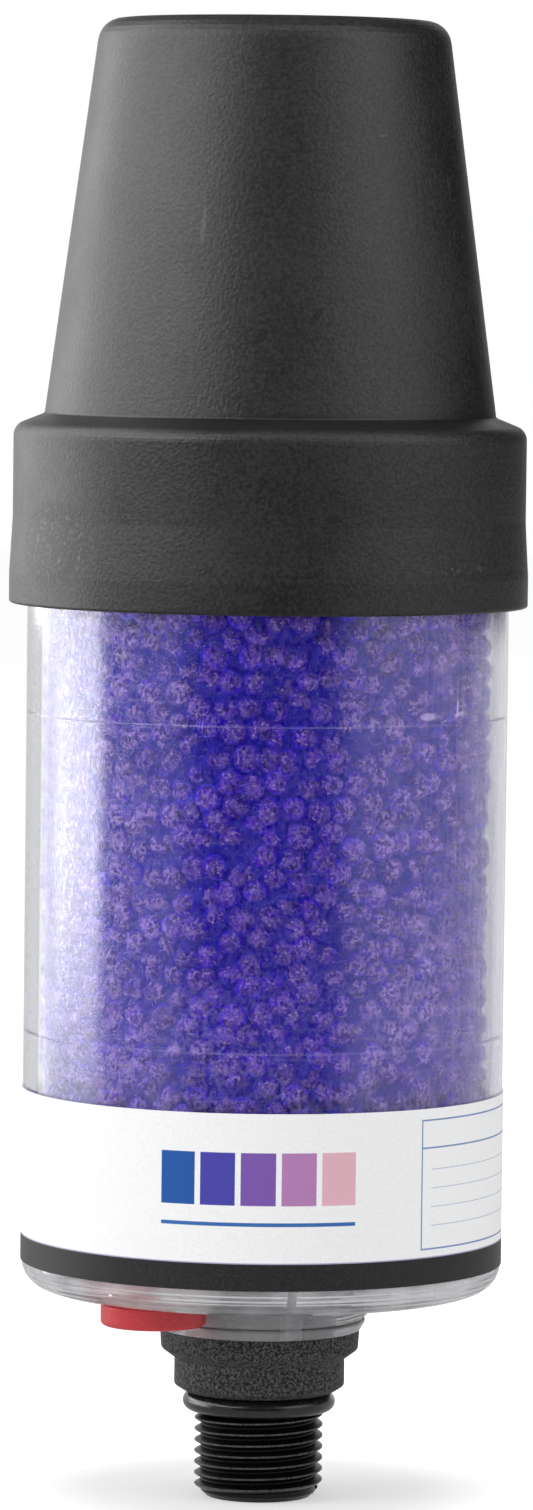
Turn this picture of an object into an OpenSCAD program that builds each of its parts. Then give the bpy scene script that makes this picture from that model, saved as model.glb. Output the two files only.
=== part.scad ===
// Silica gel breather: a clear canister of desiccant beads on a male threaded foot, with two
// valved vents in its floor and an expansion bladder under a tapered cap.
// Sizes are in millimetres. The axis is Z, and z = 0 is the upper end of the foot's thread.
// The front of the object faces -Y. Angles are counted from +X, as seen from above.

/* [Threaded foot] */
// Outside diameter of the parallel half-inch pipe thread
thread_d = 20.955; // [18:0.005:24]
// Length of the thread down to its lead-in chamfer
thread_h = 12; // [9:0.5:16]
// Height of the lead-in chamfer
thread_lead = 1.8; // [1:0.1:2.5]
// Diameter of the airway through the foot
airway_d = 12; // [9:0.1:13]
// Width of the bevel round the seat
seat_w = 1.6; // [1:0.1:2]
// Width of the ledge between the two steps
step_w = 2.4; // [1.5:0.1:2.8]
// Height of the lower step
step_h = 5.4; // [4.5:0.1:8]
// Inset of the upper step from the neck above it
flange_inset = 1.3; // [0.8:0.1:2]
// Height of the upper step
flange_h = 4.8; // [3.5:0.1:7]
// Diameter of the spigot that goes up into the neck
spigot_d = 24.8; // [24:0.1:26]
// Width of the two keys that stop the foot from turning
key_w = 2.6; // [2:0.1:4]
// Angle of the first key
key_angle = 290; // [270:1:310]

/* [Seals] */
// Section of the seal ring at the port
port_ring_section = 3; // [2.4:0.1:3.4]
// Section of the seal ring in the neck
neck_ring_section = 1.7; // [1.4:0.1:2]
// Thickness of the gasket on the canister's rim
gasket_t = 1; // [0.6:0.1:2]

/* [Canister] */
// Outside diameter of the clear canister
canister_d = 78.2; // [76:0.1:86]
// Thickness of the side wall
canister_wall = 2.2; // [1.8:0.1:2.6]
// Radius of the round corner at the floor
corner_r = 4.5; // [3:0.1:5.5]
// Thickness of the floor
floor_t = 2.5; // [2:0.1:4]
// Length of the neck under the floor
neck_h = 6.8; // [5.5:0.1:10]
// Diameter of the neck
neck_d = 35.2; // [34:0.1:36]
// Number of stiffening ribs on the floor
floor_ribs = 4; // [4:2:4]
// Angle of the first floor rib
floor_rib_angle = 278; // [272:1:284]

/* [Vents] */
// Angle of the intake vent, with the outlet vent opposite
vent_angle = 230; // [224:1:236]
// Width of a vent cap's face on the floor, outside the bore
vent_face_w = 2.3; // [1.8:0.1:2.6]
// Wall of a vent's tube
vent_wall = 2; // [1.4:0.1:2.2]
// Height of a vent's tube above the floor's underside
vent_h = 10; // [9:0.1:13]
// Thickness of the web that carries a valve
web_t = 1.5; // [1.2:0.1:1.8]
// Free space round a valve's disc
valve_gap = 1; // [0.7:0.1:1.4]
// Lift of a valve
valve_lift = 1; // [0.5:0.1:1.2]
// Gap between a vent cap and the neck
vent_cap_gap = 0.5; // [0.4:0.1:1]
// Height of a vent cap under the floor
vent_cap_h = 3.6; // [2.5:0.1:5]
// Depth of a vent cap's plug in the bore
plug_h = 2.6; // [2:0.1:2.8]

/* [Filling] */
// Height of the bed of beads
bed_h = 101; // [80:1:110]
// Mean distance between the beads' middles
bead_d = 4.4; // [4.2:0.1:6]
// Depth of the hollows between the beads
bead_relief = 1.8; // [1.2:0.1:2]
// How far a bead may lie back from the wall
bead_set_back = 0.8; // [0:0.1:1]
// Unevenness of the packing, as a share of a bead
bead_scatter = 0.5; // [0:0.05:0.5]
// How far the rows of beads wander
bead_drift = 2; // [0:0.1:2]
// Thickness of a filter pad
filter_t = 3; // [2:0.5:5]
// Thickness of the foam pad
foam_t = 4.5; // [3:0.5:8]
// Thickness of a retaining grid
grid_t = 2; // [1.5:0.1:3]
// Diameter of a grid's holes
grid_hole_d = 4; // [3:0.1:4.4]
// Rings of holes in a grid
grid_rings = 3; // [2:1:3]
// Outside diameter of the standpipe
pipe_d = 16; // [15:0.1:17]
// Wall of the standpipe
pipe_wall = 1.5; // [1:0.1:1.8]
// Free height over the upper grid
plenum_h = 7.5; // [6:0.5:12]

/* [Expansion chamber] */
// Thickness of the bulkhead
bulkhead_t = 2.5; // [2:0.1:4]
// Free space between the bladder's collar and the cap
collar_gap = 7.4; // [6:0.1:9]
// Height of that collar
collar_h = 6; // [5:0.1:8]
// Wall of the bladder
bladder_wall = 1.2; // [0.8:0.1:1.6]
// Number of the bladder's folds
bladder_folds = 4; // [3:1:5]
// Depth of the bladder's folds
fold_depth = 2.6; // [1:0.1:3]
// Height of the ring that clamps the bladder
clamp_h = 3; // [2:0.1:3.6]

/* [Cap] */
// Gap between the skirt and the canister, bridged by the ribs
skirt_gap = 0.8; // [0.5:0.1:1.2]
// Wall of the skirt under the shoulder
skirt_wall = 1.7; // [1.4:0.1:2.4]
// Flare of the skirt at its lower rim
rim_flare = 0.5; // [0:0.1:1]
// Length of the skirt under the bulkhead's top
skirt_h = 25.7; // [18:0.1:40]
// Width of the shoulder between the skirt and the taper
shoulder_w = 5; // [4:0.1:6]
// Draft angle of the tapered part
cone_draft = 7.6; // [4:0.1:9]
// Height of the tapered part
cone_h = 63.8; // [50:0.1:80]
// Drop of the shoulder from the taper to the skirt
shoulder_drop = 2; // [1:0.1:2.6]
// Wall of the cap
cap_wall = 2.2; // [1.6:0.1:2.6]
// Radius of the top edge
cap_top_r = 4; // [2:0.1:6]
// Number of centring ribs inside the skirt
cap_ribs = 12; // [6:1:24]

/* [Label] */
// Height of the label
label_h = 28.2; // [15:0.1:60]
// Thickness of the label
label_t = 0.15; // [0.1:0.05:0.2]

/* [Fits] */
// Clearance of parts that slide into each other
slide_fit = 0.1; // [0.05:0.05:0.2]
// Clearance of the loose filling at the canister's wall
filling_fit = 0.3; // [0.3:0.05:0.4]
// Clearance of a vent cap's plug in its bore
plug_fit = 0.2; // [0.15:0.05:0.3]
// Gap between faces of parts that open and close
face_gap = 0.05; // [0.05:0.05:0.1]

/* [Hidden] */
fine = 96;
canister_r = canister_d / 2;
inner_r = canister_r - canister_wall;
thread_r = thread_d / 2;
airway_r = airway_d / 2;
pipe_r = pipe_d / 2;
spigot_r = spigot_d / 2;
neck_r = neck_d / 2;
flange_r = neck_r - flange_inset;
step_r = flange_r - step_w;
seat_r = step_r - seat_w;

// Heights from the foot upwards
groove_h = port_ring_section + 0.5;
groove_r = thread_r - 1.08;
seat_z = groove_h;
step_z = seat_z + step_h;
flange_z = step_z + flange_h;
floor_z = flange_z + neck_h;
floor_top_z = floor_z + floor_t;
vent_top_z = floor_z + vent_h;
grid_z = vent_top_z + 0.5;
foam_z = grid_z + grid_t;
lower_filter_z = foam_z + foam_t;
bed_z = lower_filter_z + filter_t;
upper_filter_z = bed_z + bed_h;
upper_grid_z = upper_filter_z + filter_t;
plenum_z = upper_grid_z + grid_t;
rim_z = plenum_z + plenum_h;
bulkhead_z = rim_z + gasket_t;
deck_z = bulkhead_z + bulkhead_t;

// Neck, spigot and standpipe
neck_bore_r = spigot_r + slide_fit;
neck_wall_top_z = vent_top_z - 2.5;
spigot_z = neck_wall_top_z;
socket_z = floor_z - 1;
neck_ring_z = floor_top_z + 0.6;
neck_ring_groove_r = spigot_r - neck_ring_section;
pipe_top_z = plenum_z + plenum_h / 2;
key_r = spigot_r + 0.72 * (flange_r - spigot_r);

// The ledge under the lower grid
ledge_r = inner_r - 1.3;
filling_r = inner_r - filling_fit;

// Vents and valves
vent_offset = (neck_r + ledge_r) / 2;
vent_cap_r = (ledge_r - neck_r) / 2 - vent_cap_gap;
vent_r = vent_cap_r - vent_face_w;
vent_wall_r = vent_r + vent_wall;
web_z = floor_z + plug_h + valve_lift + 1.4;
valve_r = vent_r - valve_gap;
stem_r = 1.05;
barb_r = 1.5;
web_holes = 6;
web_hole_r = 0.18 * valve_r;
web_ring_r = 0.67 * valve_r;

// Cap
ledge_gap = 0.1;
cap_ledge_z = deck_z + ledge_gap;
cone_base_z = cap_ledge_z + 5;
cap_top_z = cone_base_z + cone_h;
shoulder_z = cone_base_z - shoulder_drop;
skirt_z = cap_ledge_z - skirt_h;
skirt_inner_r = canister_r + skirt_gap;
skirt_r = skirt_inner_r + skirt_wall;
rim_r = skirt_r + rim_flare;
cone_base_r = skirt_r - shoulder_w;
cone_lean = tan(cone_draft);
cone_top_r = cone_base_r - cone_h * cone_lean;

// Bladder
collar_r = cone_base_r - cap_wall - collar_gap;
bladder_mouth_r = collar_r + slide_fit;
clamp_r = bladder_mouth_r + bladder_wall + slide_fit;
clamp_z = deck_z + collar_h / 2 - clamp_h / 2;

// The bladder follows the cap's taper inside it
bladder_z = deck_z + collar_h;
bladder_top_z = cap_top_z - cap_wall - 6;
bladder_gap = cap_wall + 3.2;
fold_pitch = (bladder_top_z - bladder_z - 6) / bladder_folds;

// Label, from the upper end of the round corner
label_z = floor_z + corner_r;

// Beads
bead_count = round(2 * PI * filling_r / bead_d);
bead_rows = round(bed_h / (bead_d * sin(60)));
row_h = bed_h / bead_rows;
bead_columns = 2 * bead_count;
column_w = PI * filling_r / bead_count;
bead_clear = 0.94 * bead_d;
bead_end_clear = 0.4 * row_h;
// Whirls of the packing: share of the drift, waves round the axis, waves up the bed, start
whirls = [[1, 5, 2, 40], [0.5, 9, 3.5, 200]];
packing_rounds = 8;
packing_push = 0.7;
scatter = rands(0, 1, 3 * bead_count * bead_rows, 7);

// Outline tools: a corner is [radius from the axis, height, rounding]
function unit(v) = v / norm(v);
function short_turn(a) = a > 180 ? a - 360 : a < -180 ? a + 360 : a;
function corner_points(a, p, b, r, n) =
    r <= 0 ? [p] :
    let (u = unit(a - p), v = unit(b - p), half = acos(u * v) / 2,
        c = p + unit(u + v) * r / sin(half),
        s = p + u * r / tan(half) - c, e = p + v * r / tan(half) - c,
        from = atan2(s[1], s[0]), sweep = short_turn(atan2(e[1], e[0]) - from))
    [for (i = [0 : n]) c + r * [cos(from + sweep * i / n), sin(from + sweep * i / n)]];
function flat(p) = [p[0], p[1]];
function rounded(pts, n = 6) =
    let (m = len(pts))
    [for (i = [0 : m - 1]) each corner_points(flat(pts[(i + m - 1) % m]), flat(pts[i]),
        flat(pts[(i + 1) % m]), is_undef(pts[i][2]) ? 0 : pts[i][2], n)];

// A solid turned about the axis from an outline of corners
module turned(pts) {
    rotate_extrude($fn = fine) polygon(rounded(pts));
}

// A plain ring between two radii
module ring(r_in, r_out, z, h) {
    turned([[r_in, z], [r_out, z], [r_out, z + h], [r_in, z + h]]);
}

// A round seal ring lying in a groove
module seal_ring(r_in, section, z) {
    translate([0, 0, z]) rotate_extrude($fn = fine)
        translate([r_in + section / 2, 0]) circle(d = section, $fn = 48);
}

// Puts a piece at a vent: 0 is the intake, 1 the outlet
module at_vent(i) {
    rotate([0, 0, vent_angle + 180 * i]) translate([vent_offset, 0, 0]) children();
}

module threaded_adapter() {
    color([0.13, 0.13, 0.14]) union() {
        turned([
            [airway_r, -thread_h - thread_lead],
            [thread_r - 2, -thread_h - thread_lead],
            [thread_r, -thread_h],
            [thread_r, 0],
            [groove_r, 0],
            [groove_r, seat_z],
            [seat_r, seat_z, 0.3],
            [step_r, seat_z + 1, 0.5],
            [step_r, step_z, 0.4],
            [flange_r - 0.2, step_z + 1.6, 0.8],
            [flange_r, flange_z, 0.2],
            [spigot_r, flange_z],
            [spigot_r, neck_ring_z],
            [neck_ring_groove_r, neck_ring_z],
            [neck_ring_groove_r, neck_ring_z + neck_ring_section + 0.4],
            [spigot_r, neck_ring_z + neck_ring_section + 0.4],
            [spigot_r, spigot_z, 0.5],
            [pipe_r + slide_fit, spigot_z],
            [pipe_r + slide_fit, socket_z],
            [airway_r, socket_z],
        ]);
        for (i = [0, 1]) rotate([0, 0, key_angle + 180 * i])
            translate([spigot_r - 0.6, -key_w / 2, flange_z - 0.4])
                cube([key_r - spigot_r + 0.6, key_w, neck_h - 1.2]);
    }
}

module port_o_ring() {
    color([0.05, 0.05, 0.05])
        seal_ring(groove_r + slide_fit / 2, port_ring_section, groove_h / 2);
}

module neck_o_ring() {
    color([0.05, 0.05, 0.05])
        seal_ring(neck_ring_groove_r + slide_fit / 2, neck_ring_section,
            neck_ring_z + neck_ring_section / 2 + 0.2);
}

// One clear moulding: wall, floor, neck, vent tubes with their valve webs, and floor ribs
module canister() {
    color([0.80, 0.83, 0.88, 0.35]) difference() {
        union() {
            turned([
                [inner_r, rim_z, 0.3],
                [canister_r, rim_z, 0.3],
                [canister_r, floor_z, corner_r],
                [neck_r, floor_z, 0.5],
                [neck_r, flange_z + 2.6, 0.2],
                [neck_r - 0.7, flange_z + 2.3],
                [neck_r - 0.7, flange_z + 2],
                [neck_r - 0.2, flange_z + 1.7, 0.5],
                [flange_r + 0.1, flange_z, 0.3],
                [neck_bore_r, flange_z],
                [neck_bore_r, neck_wall_top_z],
                [neck_bore_r + 2, neck_wall_top_z],
                [neck_bore_r + 2, floor_top_z, 0.6],
                [ledge_r, floor_top_z, 2],
                [ledge_r, grid_z],
                [inner_r, grid_z],
            ]);
            for (i = [0, 1]) at_vent(i) translate([0, 0, floor_z + 0.5])
                cylinder(r = vent_wall_r, h = vent_h - 0.5, $fn = fine);
            for (i = [0 : floor_ribs - 1])
                rotate([0, 0, floor_rib_angle + 360 / floor_ribs * i])
                    translate([neck_bore_r + 1, -0.7, floor_top_z - 0.5])
                        cube([ledge_r - neck_bore_r - 0.5, 1.4, 3.5]);
        }
        for (i = [0, 1]) at_vent(i) {
            translate([0, 0, floor_z - 1])
                cylinder(r = vent_r, h = web_z - floor_z + 1, $fn = fine);
            translate([0, 0, web_z + web_t])
                cylinder(r = vent_r, h = vent_h, $fn = fine);
            translate([0, 0, web_z - 1])
                cylinder(r = stem_r + slide_fit, h = web_t + 2, $fn = 48);
            for (k = [0 : web_holes - 1]) rotate([0, 0, 360 / web_holes * k])
                translate([web_ring_r, 0, web_z - 1])
                    cylinder(r = web_hole_r, h = web_t + 2, $fn = 48);
        }
        for (i = [0, 1]) rotate([0, 0, key_angle + 180 * i])
            translate([spigot_r - 0.6, -key_w / 2 - slide_fit, flange_z - 1])
                cube([key_r + slide_fit - spigot_r + 0.6, key_w + 2 * slide_fit, neck_h + 0.2]);
    }
}

module label() {
    color([0.94, 0.94, 0.95])
        ring(canister_r, canister_r + label_t, label_z, label_h);
}

module standpipe() {
    color([0.75, 0.78, 0.82])
        ring(pipe_r - pipe_wall, pipe_r, socket_z, pipe_top_z - socket_z);
}

// A round plate with rings of holes and a hole for the standpipe
module grid_plate(z) {
    difference() {
        ring(pipe_r + slide_fit, filling_r, z, grid_t);
        for (k = [1 : grid_rings]) {
            hole_ring_r = pipe_r + (filling_r - pipe_r) * k / (grid_rings + 1);
            holes = floor(2 * PI * hole_ring_r / (grid_hole_d * 1.8));
            for (i = [0 : holes - 1]) rotate([0, 0, 360 / holes * i])
                translate([hole_ring_r, 0, z - 1])
                    cylinder(d = grid_hole_d, h = grid_t + 2, $fn = 32);
        }
    }
}

module lower_grid() {
    color([0.20, 0.20, 0.22]) grid_plate(grid_z);
}

module foam_pad() {
    color([0.30, 0.31, 0.33]) ring(pipe_r + slide_fit, filling_r, foam_z, foam_t);
}

module lower_filter() {
    color([0.90, 0.90, 0.88]) ring(pipe_r + slide_fit, filling_r, lower_filter_z, filter_t);
}

// The bed is drawn as its outer layer, one dome for each bead. The beads start in staggered rows
// that wander in whirls, are scattered, and are then pushed apart where they crowd. A place is
// [way round, height].
function whirl(a, h, w) =
    let (way = w[1] * a + w[3], rise = 360 * w[2] * h)
    bead_drift * w[0] * [sin(way) * cos(rise), -cos(way) * sin(rise)];
function bead_spread(j, i) =
    let (n = 3 * (j * bead_count + i), c = 2 * i + j % 2, h = (j + 0.5) / bead_rows,
        a = 360 * c / bead_columns)
    [(c + 2 * bead_scatter * (scatter[n + 1] - 0.5)) * column_w,
        bed_z + (j + 0.5 + bead_scatter * (scatter[n + 2] - 0.5)) * row_h]
    + total([for (w = whirls) whirl(a, h, w)]);
function bead_at(beads, j, c) =
    let (laps = floor(c / bead_columns))
    beads[j][(c - laps * bead_columns - j % 2) / 2] + [laps * bead_columns * column_w, 0];
function push(p, q) =
    let (far = max(norm(p - q), 0.01))
    far < bead_clear ? (p - q) * (bead_clear - far) / (2 * far) : [0, 0];
function beads_near(beads, j, c) = concat(
    [bead_at(beads, j, c - 2), bead_at(beads, j, c + 2)],
    j > 0 ? [bead_at(beads, j - 1, c - 1), bead_at(beads, j - 1, c + 1)] : [],
    j < bead_rows - 1 ? [bead_at(beads, j + 1, c - 1), bead_at(beads, j + 1, c + 1)] : []);
function total(list) = [for (v = list) 1] * list;
function settled_bead(beads, j, i) =
    let (p = beads[j][i],
        near = beads_near(beads, j, 2 * i + j % 2),
        q = p + packing_push * total([for (b = near) push(p, b)]))
    [q[0], min(max(q[1], bed_z + bead_end_clear), bed_z + bed_h - bead_end_clear)];
function settled(beads, rounds) =
    rounds < 1 ? beads :
    settled([for (j = [0 : bead_rows - 1])
        [for (i = [0 : bead_count - 1]) settled_bead(beads, j, i)]], rounds - 1);
function on_wall(r, p) =
    let (a = p[0] * 180 / (PI * filling_r))
    [r * cos(a), r * sin(a), p[1]];
function hollow(beads, j, k) =
    j < 0 ? [k * column_w, bed_z] :
    j >= bead_rows - 1 ? [k * column_w, bed_z + bed_h] :
    total((k + j) % 2 == 0 ?
        [bead_at(beads, j, k), bead_at(beads, j + 1, k - 1), bead_at(beads, j + 1, k + 1)] :
        [bead_at(beads, j, k - 1), bead_at(beads, j, k + 1), bead_at(beads, j + 1, k)]) / 3;
function hollow_ring(beads, j) =
    [for (k = [0 : bead_columns - 1]) on_wall(filling_r - bead_relief, hollow(beads, j, k))];
function bore_ring(z) =
    [for (k = [0 : bead_columns - 1]) on_wall(pipe_r + filling_fit, [k * column_w, z])];

module desiccant_bed() {
    n2 = bead_columns;
    row_points = n2 + bead_count;
    beads = settled([for (j = [0 : bead_rows - 1])
        [for (i = [0 : bead_count - 1]) bead_spread(j, i)]], packing_rounds);
    function dome(j, i) = on_wall(
        filling_r - bead_set_back * scatter[3 * (j * bead_count + i)], beads[j][i]);
    points = concat(bore_ring(bed_z), hollow_ring(beads, -1),
        [for (j = [0 : bead_rows - 1]) each concat([for (i = [0 : bead_count - 1]) dome(j, i)],
            hollow_ring(beads, j))],
        bore_ring(bed_z + bed_h));
    last = 2 * n2 + bead_rows * row_points;
    function low(j, k) = n2 + (j == 0 ? 0 : j * row_points) + (k + n2) % n2;
    function high(j, k) = low(j + 1, k);
    function peak(j, i) = 2 * n2 + j * row_points + i;
    domes = [for (j = [0 : bead_rows - 1]) for (i = [0 : bead_count - 1])
        let (k = 2 * i + j % 2, p = peak(j, i))
        each [
            [p, high(j, k - 1), high(j, k)], [p, high(j, k), high(j, k + 1)],
            [p, high(j, k + 1), low(j, k + 1)], [p, low(j, k + 1), low(j, k)],
            [p, low(j, k), low(j, k - 1)], [p, low(j, k - 1), high(j, k - 1)]]];
    ends = [for (k = [0 : n2 - 1])
        let (m = (k + 1) % n2, top = bead_rows)
        each [
            [low(0, k), low(0, m), m, k],
            [low(top, m), low(top, k), last + k, last + m],
            [k, m, last + m, last + k]]];
    color([0.25, 0.22, 0.52]) polyhedron(points, concat(domes, ends));
}

module upper_filter() {
    color([0.90, 0.90, 0.88]) ring(pipe_r + slide_fit, filling_r, upper_filter_z, filter_t);
}

module upper_grid() {
    color([0.20, 0.20, 0.22]) grid_plate(upper_grid_z);
}

module rim_gasket() {
    color([0.08, 0.08, 0.08]) ring(inner_r + 0.3, canister_r - 0.3, rim_z, gasket_t);
}

// Closes the canister, holds the filling down and carries the bladder on a lipped collar
module bulkhead() {
    color([0.16, 0.16, 0.17]) difference() {
        turned([
            [0, bulkhead_z],
            [filling_r - 2.2, bulkhead_z],
            [filling_r - 2.2, plenum_z],
            [filling_r, plenum_z],
            [filling_r, bulkhead_z],
            [canister_r - 0.3, bulkhead_z],
            [canister_r - 0.3, deck_z],
            [collar_r, deck_z],
            [collar_r, deck_z + collar_h + 0.4],
            [collar_r + 0.8, deck_z + collar_h + 0.6, 0.2],
            [collar_r - 0.8, deck_z + collar_h + 2, 0.3],
            [collar_r - 2.4, deck_z + collar_h + 2, 0.3],
            [collar_r - 2.4, deck_z, 0.8],
            [0, deck_z],
        ]);
        for (i = [0 : 7]) rotate([0, 0, 45 * i]) translate([collar_r * 0.6, 0, bulkhead_z - 1])
            cylinder(d = 6, h = bulkhead_t + 2, $fn = 48);
    }
}

// The bladder's outside radius at a height, inside the cap's taper
function bladder_r(z) = cone_base_r - cone_lean * (z - cone_base_z) - bladder_gap;

// A closed rubber bag with soft folds and a mouth that grips the collar
module bladder() {
    first_z = bladder_z + 4;
    function folds(inset) = [for (k = [0 : 2 * bladder_folds])
        let (z = first_z + k * fold_pitch / 2)
        [bladder_r(z) - inset - (k % 2 == 0 ? 0 : fold_depth), z, 1.2]];
    function backwards(v) = [for (k = [len(v) - 1 : -1 : 0]) v[k]];
    crown_r = bladder_r(first_z + bladder_folds * fold_pitch) - 7;
    color([0.12, 0.12, 0.12]) turned(concat(
        [[bladder_mouth_r, deck_z], [bladder_mouth_r + bladder_wall, deck_z],
         [bladder_mouth_r + bladder_wall, bladder_z + 0.2, 0.6]],
        folds(0),
        [[crown_r, bladder_top_z, 3], [0, bladder_top_z],
         [0, bladder_top_z - bladder_wall], [crown_r - 0.4, bladder_top_z - bladder_wall, 2]],
        backwards(folds(bladder_wall)),
        [[bladder_mouth_r + 1, bladder_z + 1.4], [bladder_mouth_r + 0.9, bladder_z + 0.3],
         [bladder_mouth_r, bladder_z + 0.2]]));
}

module bladder_clamp() {
    color([0.70, 0.71, 0.72]) ring(clamp_r, clamp_r + 1.6, clamp_z, clamp_h);
}

// Tapered cap with a skirt that is centred on the canister by ribs
module top_cap() {
    flare_z = skirt_z + 0.2 * skirt_h;
    flare_top_z = skirt_z + 0.54 * skirt_h;
    inner_base_r = cone_base_r - cap_wall;
    color([0.23, 0.23, 0.24]) union() {
        turned([
            [0, cap_top_z],
            [cone_top_r, cap_top_z, cap_top_r],
            [cone_base_r, cone_base_z, 0.5],
            [skirt_r, shoulder_z, 2.4],
            [skirt_r, flare_top_z],
            [rim_r, flare_z],
            [rim_r, skirt_z, 0.5],
            [skirt_inner_r, skirt_z, 0.3],
            [skirt_inner_r, cap_ledge_z, 0.6],
            [inner_base_r, cap_ledge_z, 0.5],
            [inner_base_r - cone_lean * 2, cone_base_z + 2],
            [cone_top_r + cone_lean * cap_wall - cap_wall, cap_top_z - cap_wall, 2.5],
            [0, cap_top_z - cap_wall],
        ]);
        for (i = [0 : cap_ribs - 1]) rotate([0, 0, 360 / cap_ribs * (i + 0.5)])
            translate([canister_r + slide_fit, -0.6, skirt_z + 4])
                cube([skirt_inner_r - canister_r + 0.4, 1.2, skirt_h - 5]);
    }
}

// A mushroom valve drawn with its seat at z = 0, disc up and stem down
module mushroom_valve() {
    reach = web_t + valve_lift + 0.2;
    turned([
        [0, 1.3],
        [1.6, 1.3, 0.8],
        [valve_r, 0.65, 0.15],
        [valve_r, face_gap],
        [stem_r, face_gap],
        [stem_r, -reach],
        [barb_r, -reach],
        [0.7, -reach - 1, 0.2],
        [0, -reach - 1],
    ]);
}

module intake_valve() {
    color([0.85, 0.60, 0.25]) at_vent(0) translate([0, 0, web_z + web_t]) mushroom_valve();
}

module outlet_valve() {
    color([0.85, 0.60, 0.25]) at_vent(1) translate([0, 0, web_z]) mirror([0, 0, 1]) mushroom_valve();
}

// A pull-off cap with a hollow plug, drawn with the floor's underside at z = 0
module vent_cap() {
    turned([
        [0, -face_gap - vent_cap_h],
        [vent_cap_r, -face_gap - vent_cap_h, 0.8],
        [vent_cap_r, -face_gap, 0.4],
        [vent_r - plug_fit, -face_gap],
        [vent_r - plug_fit, plug_h, 0.3],
        [vent_r - plug_fit - 1.2, plug_h, 0.3],
        [vent_r - plug_fit - 1.2, 0],
        [0, 0],
    ]);
}

module intake_vent_cap() {
    color([0.78, 0.20, 0.22]) at_vent(0) translate([0, 0, floor_z]) vent_cap();
}

module outlet_vent_cap() {
    color([0.78, 0.20, 0.22]) at_vent(1) translate([0, 0, floor_z]) vent_cap();
}

threaded_adapter();
port_o_ring();
neck_o_ring();
canister();
label();
standpipe();
lower_grid();
foam_pad();
lower_filter();
desiccant_bed();
upper_filter();
upper_grid();
rim_gasket();
bulkhead();
bladder();
bladder_clamp();
top_cap();
intake_valve();
outlet_valve();
intake_vent_cap();
outlet_vent_cap();
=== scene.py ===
"""Looks of a silica gel breather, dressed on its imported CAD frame.

Lengths are metres in the part's own frame: Z runs up the axis from the upper end of the
foot's thread, and the front of the object faces -Y. The camera, the light and the finishes
follow a studio photograph of the real object.
"""

import logging
import math
from dataclasses import dataclass
from enum import Enum
from functools import reduce
from typing import Protocol

import bpy
import numpy as np
from mathutils import Matrix, Vector


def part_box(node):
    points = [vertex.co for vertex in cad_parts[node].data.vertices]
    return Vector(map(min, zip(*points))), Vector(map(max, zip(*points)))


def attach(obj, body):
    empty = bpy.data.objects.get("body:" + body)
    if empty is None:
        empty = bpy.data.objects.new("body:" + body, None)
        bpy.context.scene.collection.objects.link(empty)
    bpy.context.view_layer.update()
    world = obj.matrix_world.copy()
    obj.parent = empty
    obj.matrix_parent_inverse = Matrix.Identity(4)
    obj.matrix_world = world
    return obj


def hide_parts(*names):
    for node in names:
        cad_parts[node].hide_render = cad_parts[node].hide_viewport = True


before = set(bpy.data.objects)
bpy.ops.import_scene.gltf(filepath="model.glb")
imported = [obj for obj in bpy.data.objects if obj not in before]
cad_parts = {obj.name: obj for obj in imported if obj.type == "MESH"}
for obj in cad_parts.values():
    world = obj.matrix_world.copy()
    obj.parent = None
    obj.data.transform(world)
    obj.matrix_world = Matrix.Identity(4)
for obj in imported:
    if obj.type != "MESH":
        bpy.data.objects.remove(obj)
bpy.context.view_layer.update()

LOG = logging.getLogger("breather")
MM = 0.001
IMAGE_SIZE = (533, 1510)
SENSOR_MM = 36.0
MAIN_BODY = "breather"
WHITE = (1.0, 1.0, 1.0)
NOISE_MIDDLE = 0.5
SIGHT_RAYS = ("Camera", "Glossy", "Transmission")
LIGHT_RAYS = ("Shadow", "Diffuse")

Socket = bpy.types.NodeSocket
Value = float | tuple[float, ...] | Socket
Colour = tuple[float, float, float]
Span = tuple[float, float]
Point = tuple[float, float]


@dataclass(frozen=True)
class Mark:
    """A scuff, scratch or smear on an unrolled wall: millimetres from the front and in height."""

    u: float
    v: float
    half_length: float
    half_width: float
    slant_deg: float = 0.0


@dataclass(frozen=True)
class Grain:
    """A noise: features per metre, octaves and the weight of the finer octaves."""

    scale: float
    detail: float = 2.0
    roughness: float = 0.5


@dataclass(frozen=True)
class Slope:
    """How one value follows another: softly between two places, and level beyond them."""

    low: float
    high: float
    at_low: float = 0.0
    at_high: float = 1.0


SPOT_EDGE = Slope(0.25, 1.0, 1.0, 0.0)


@dataclass(frozen=True)
class Mottle:
    """A noise and how much of it shows."""

    grain: Grain
    slope: Slope


@dataclass(frozen=True)
class Streaks:
    """A noise stretched on an unrolled wall: features per metre round and up it, and its slice."""

    round_count: float
    up_count: float
    grain: Grain
    layer: float = 0.0


@dataclass(frozen=True)
class Wisps:
    """Short broken wisps on an unrolled wall, most of them upright; counts are per spacing."""

    spacing: float
    lines: Streaks = Streaks(0.75, 0.42, Grain(1.0, 3.0, 0.6))
    breaks: Streaks = Streaks(0.9, 0.7, Grain(0.8), 5.0)
    line: Slope = Slope(0.0, 0.09, 1.0, 0.0)
    whole: Slope = Slope(0.32, 0.52)


@dataclass(frozen=True)
class Band:
    """A span of values with soft edges."""

    low: float
    high: float
    soft: float


@dataclass(frozen=True)
class Relief:
    """Depth of a relief in metres, and the share of it that shows."""

    depth: float
    strength: float


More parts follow.
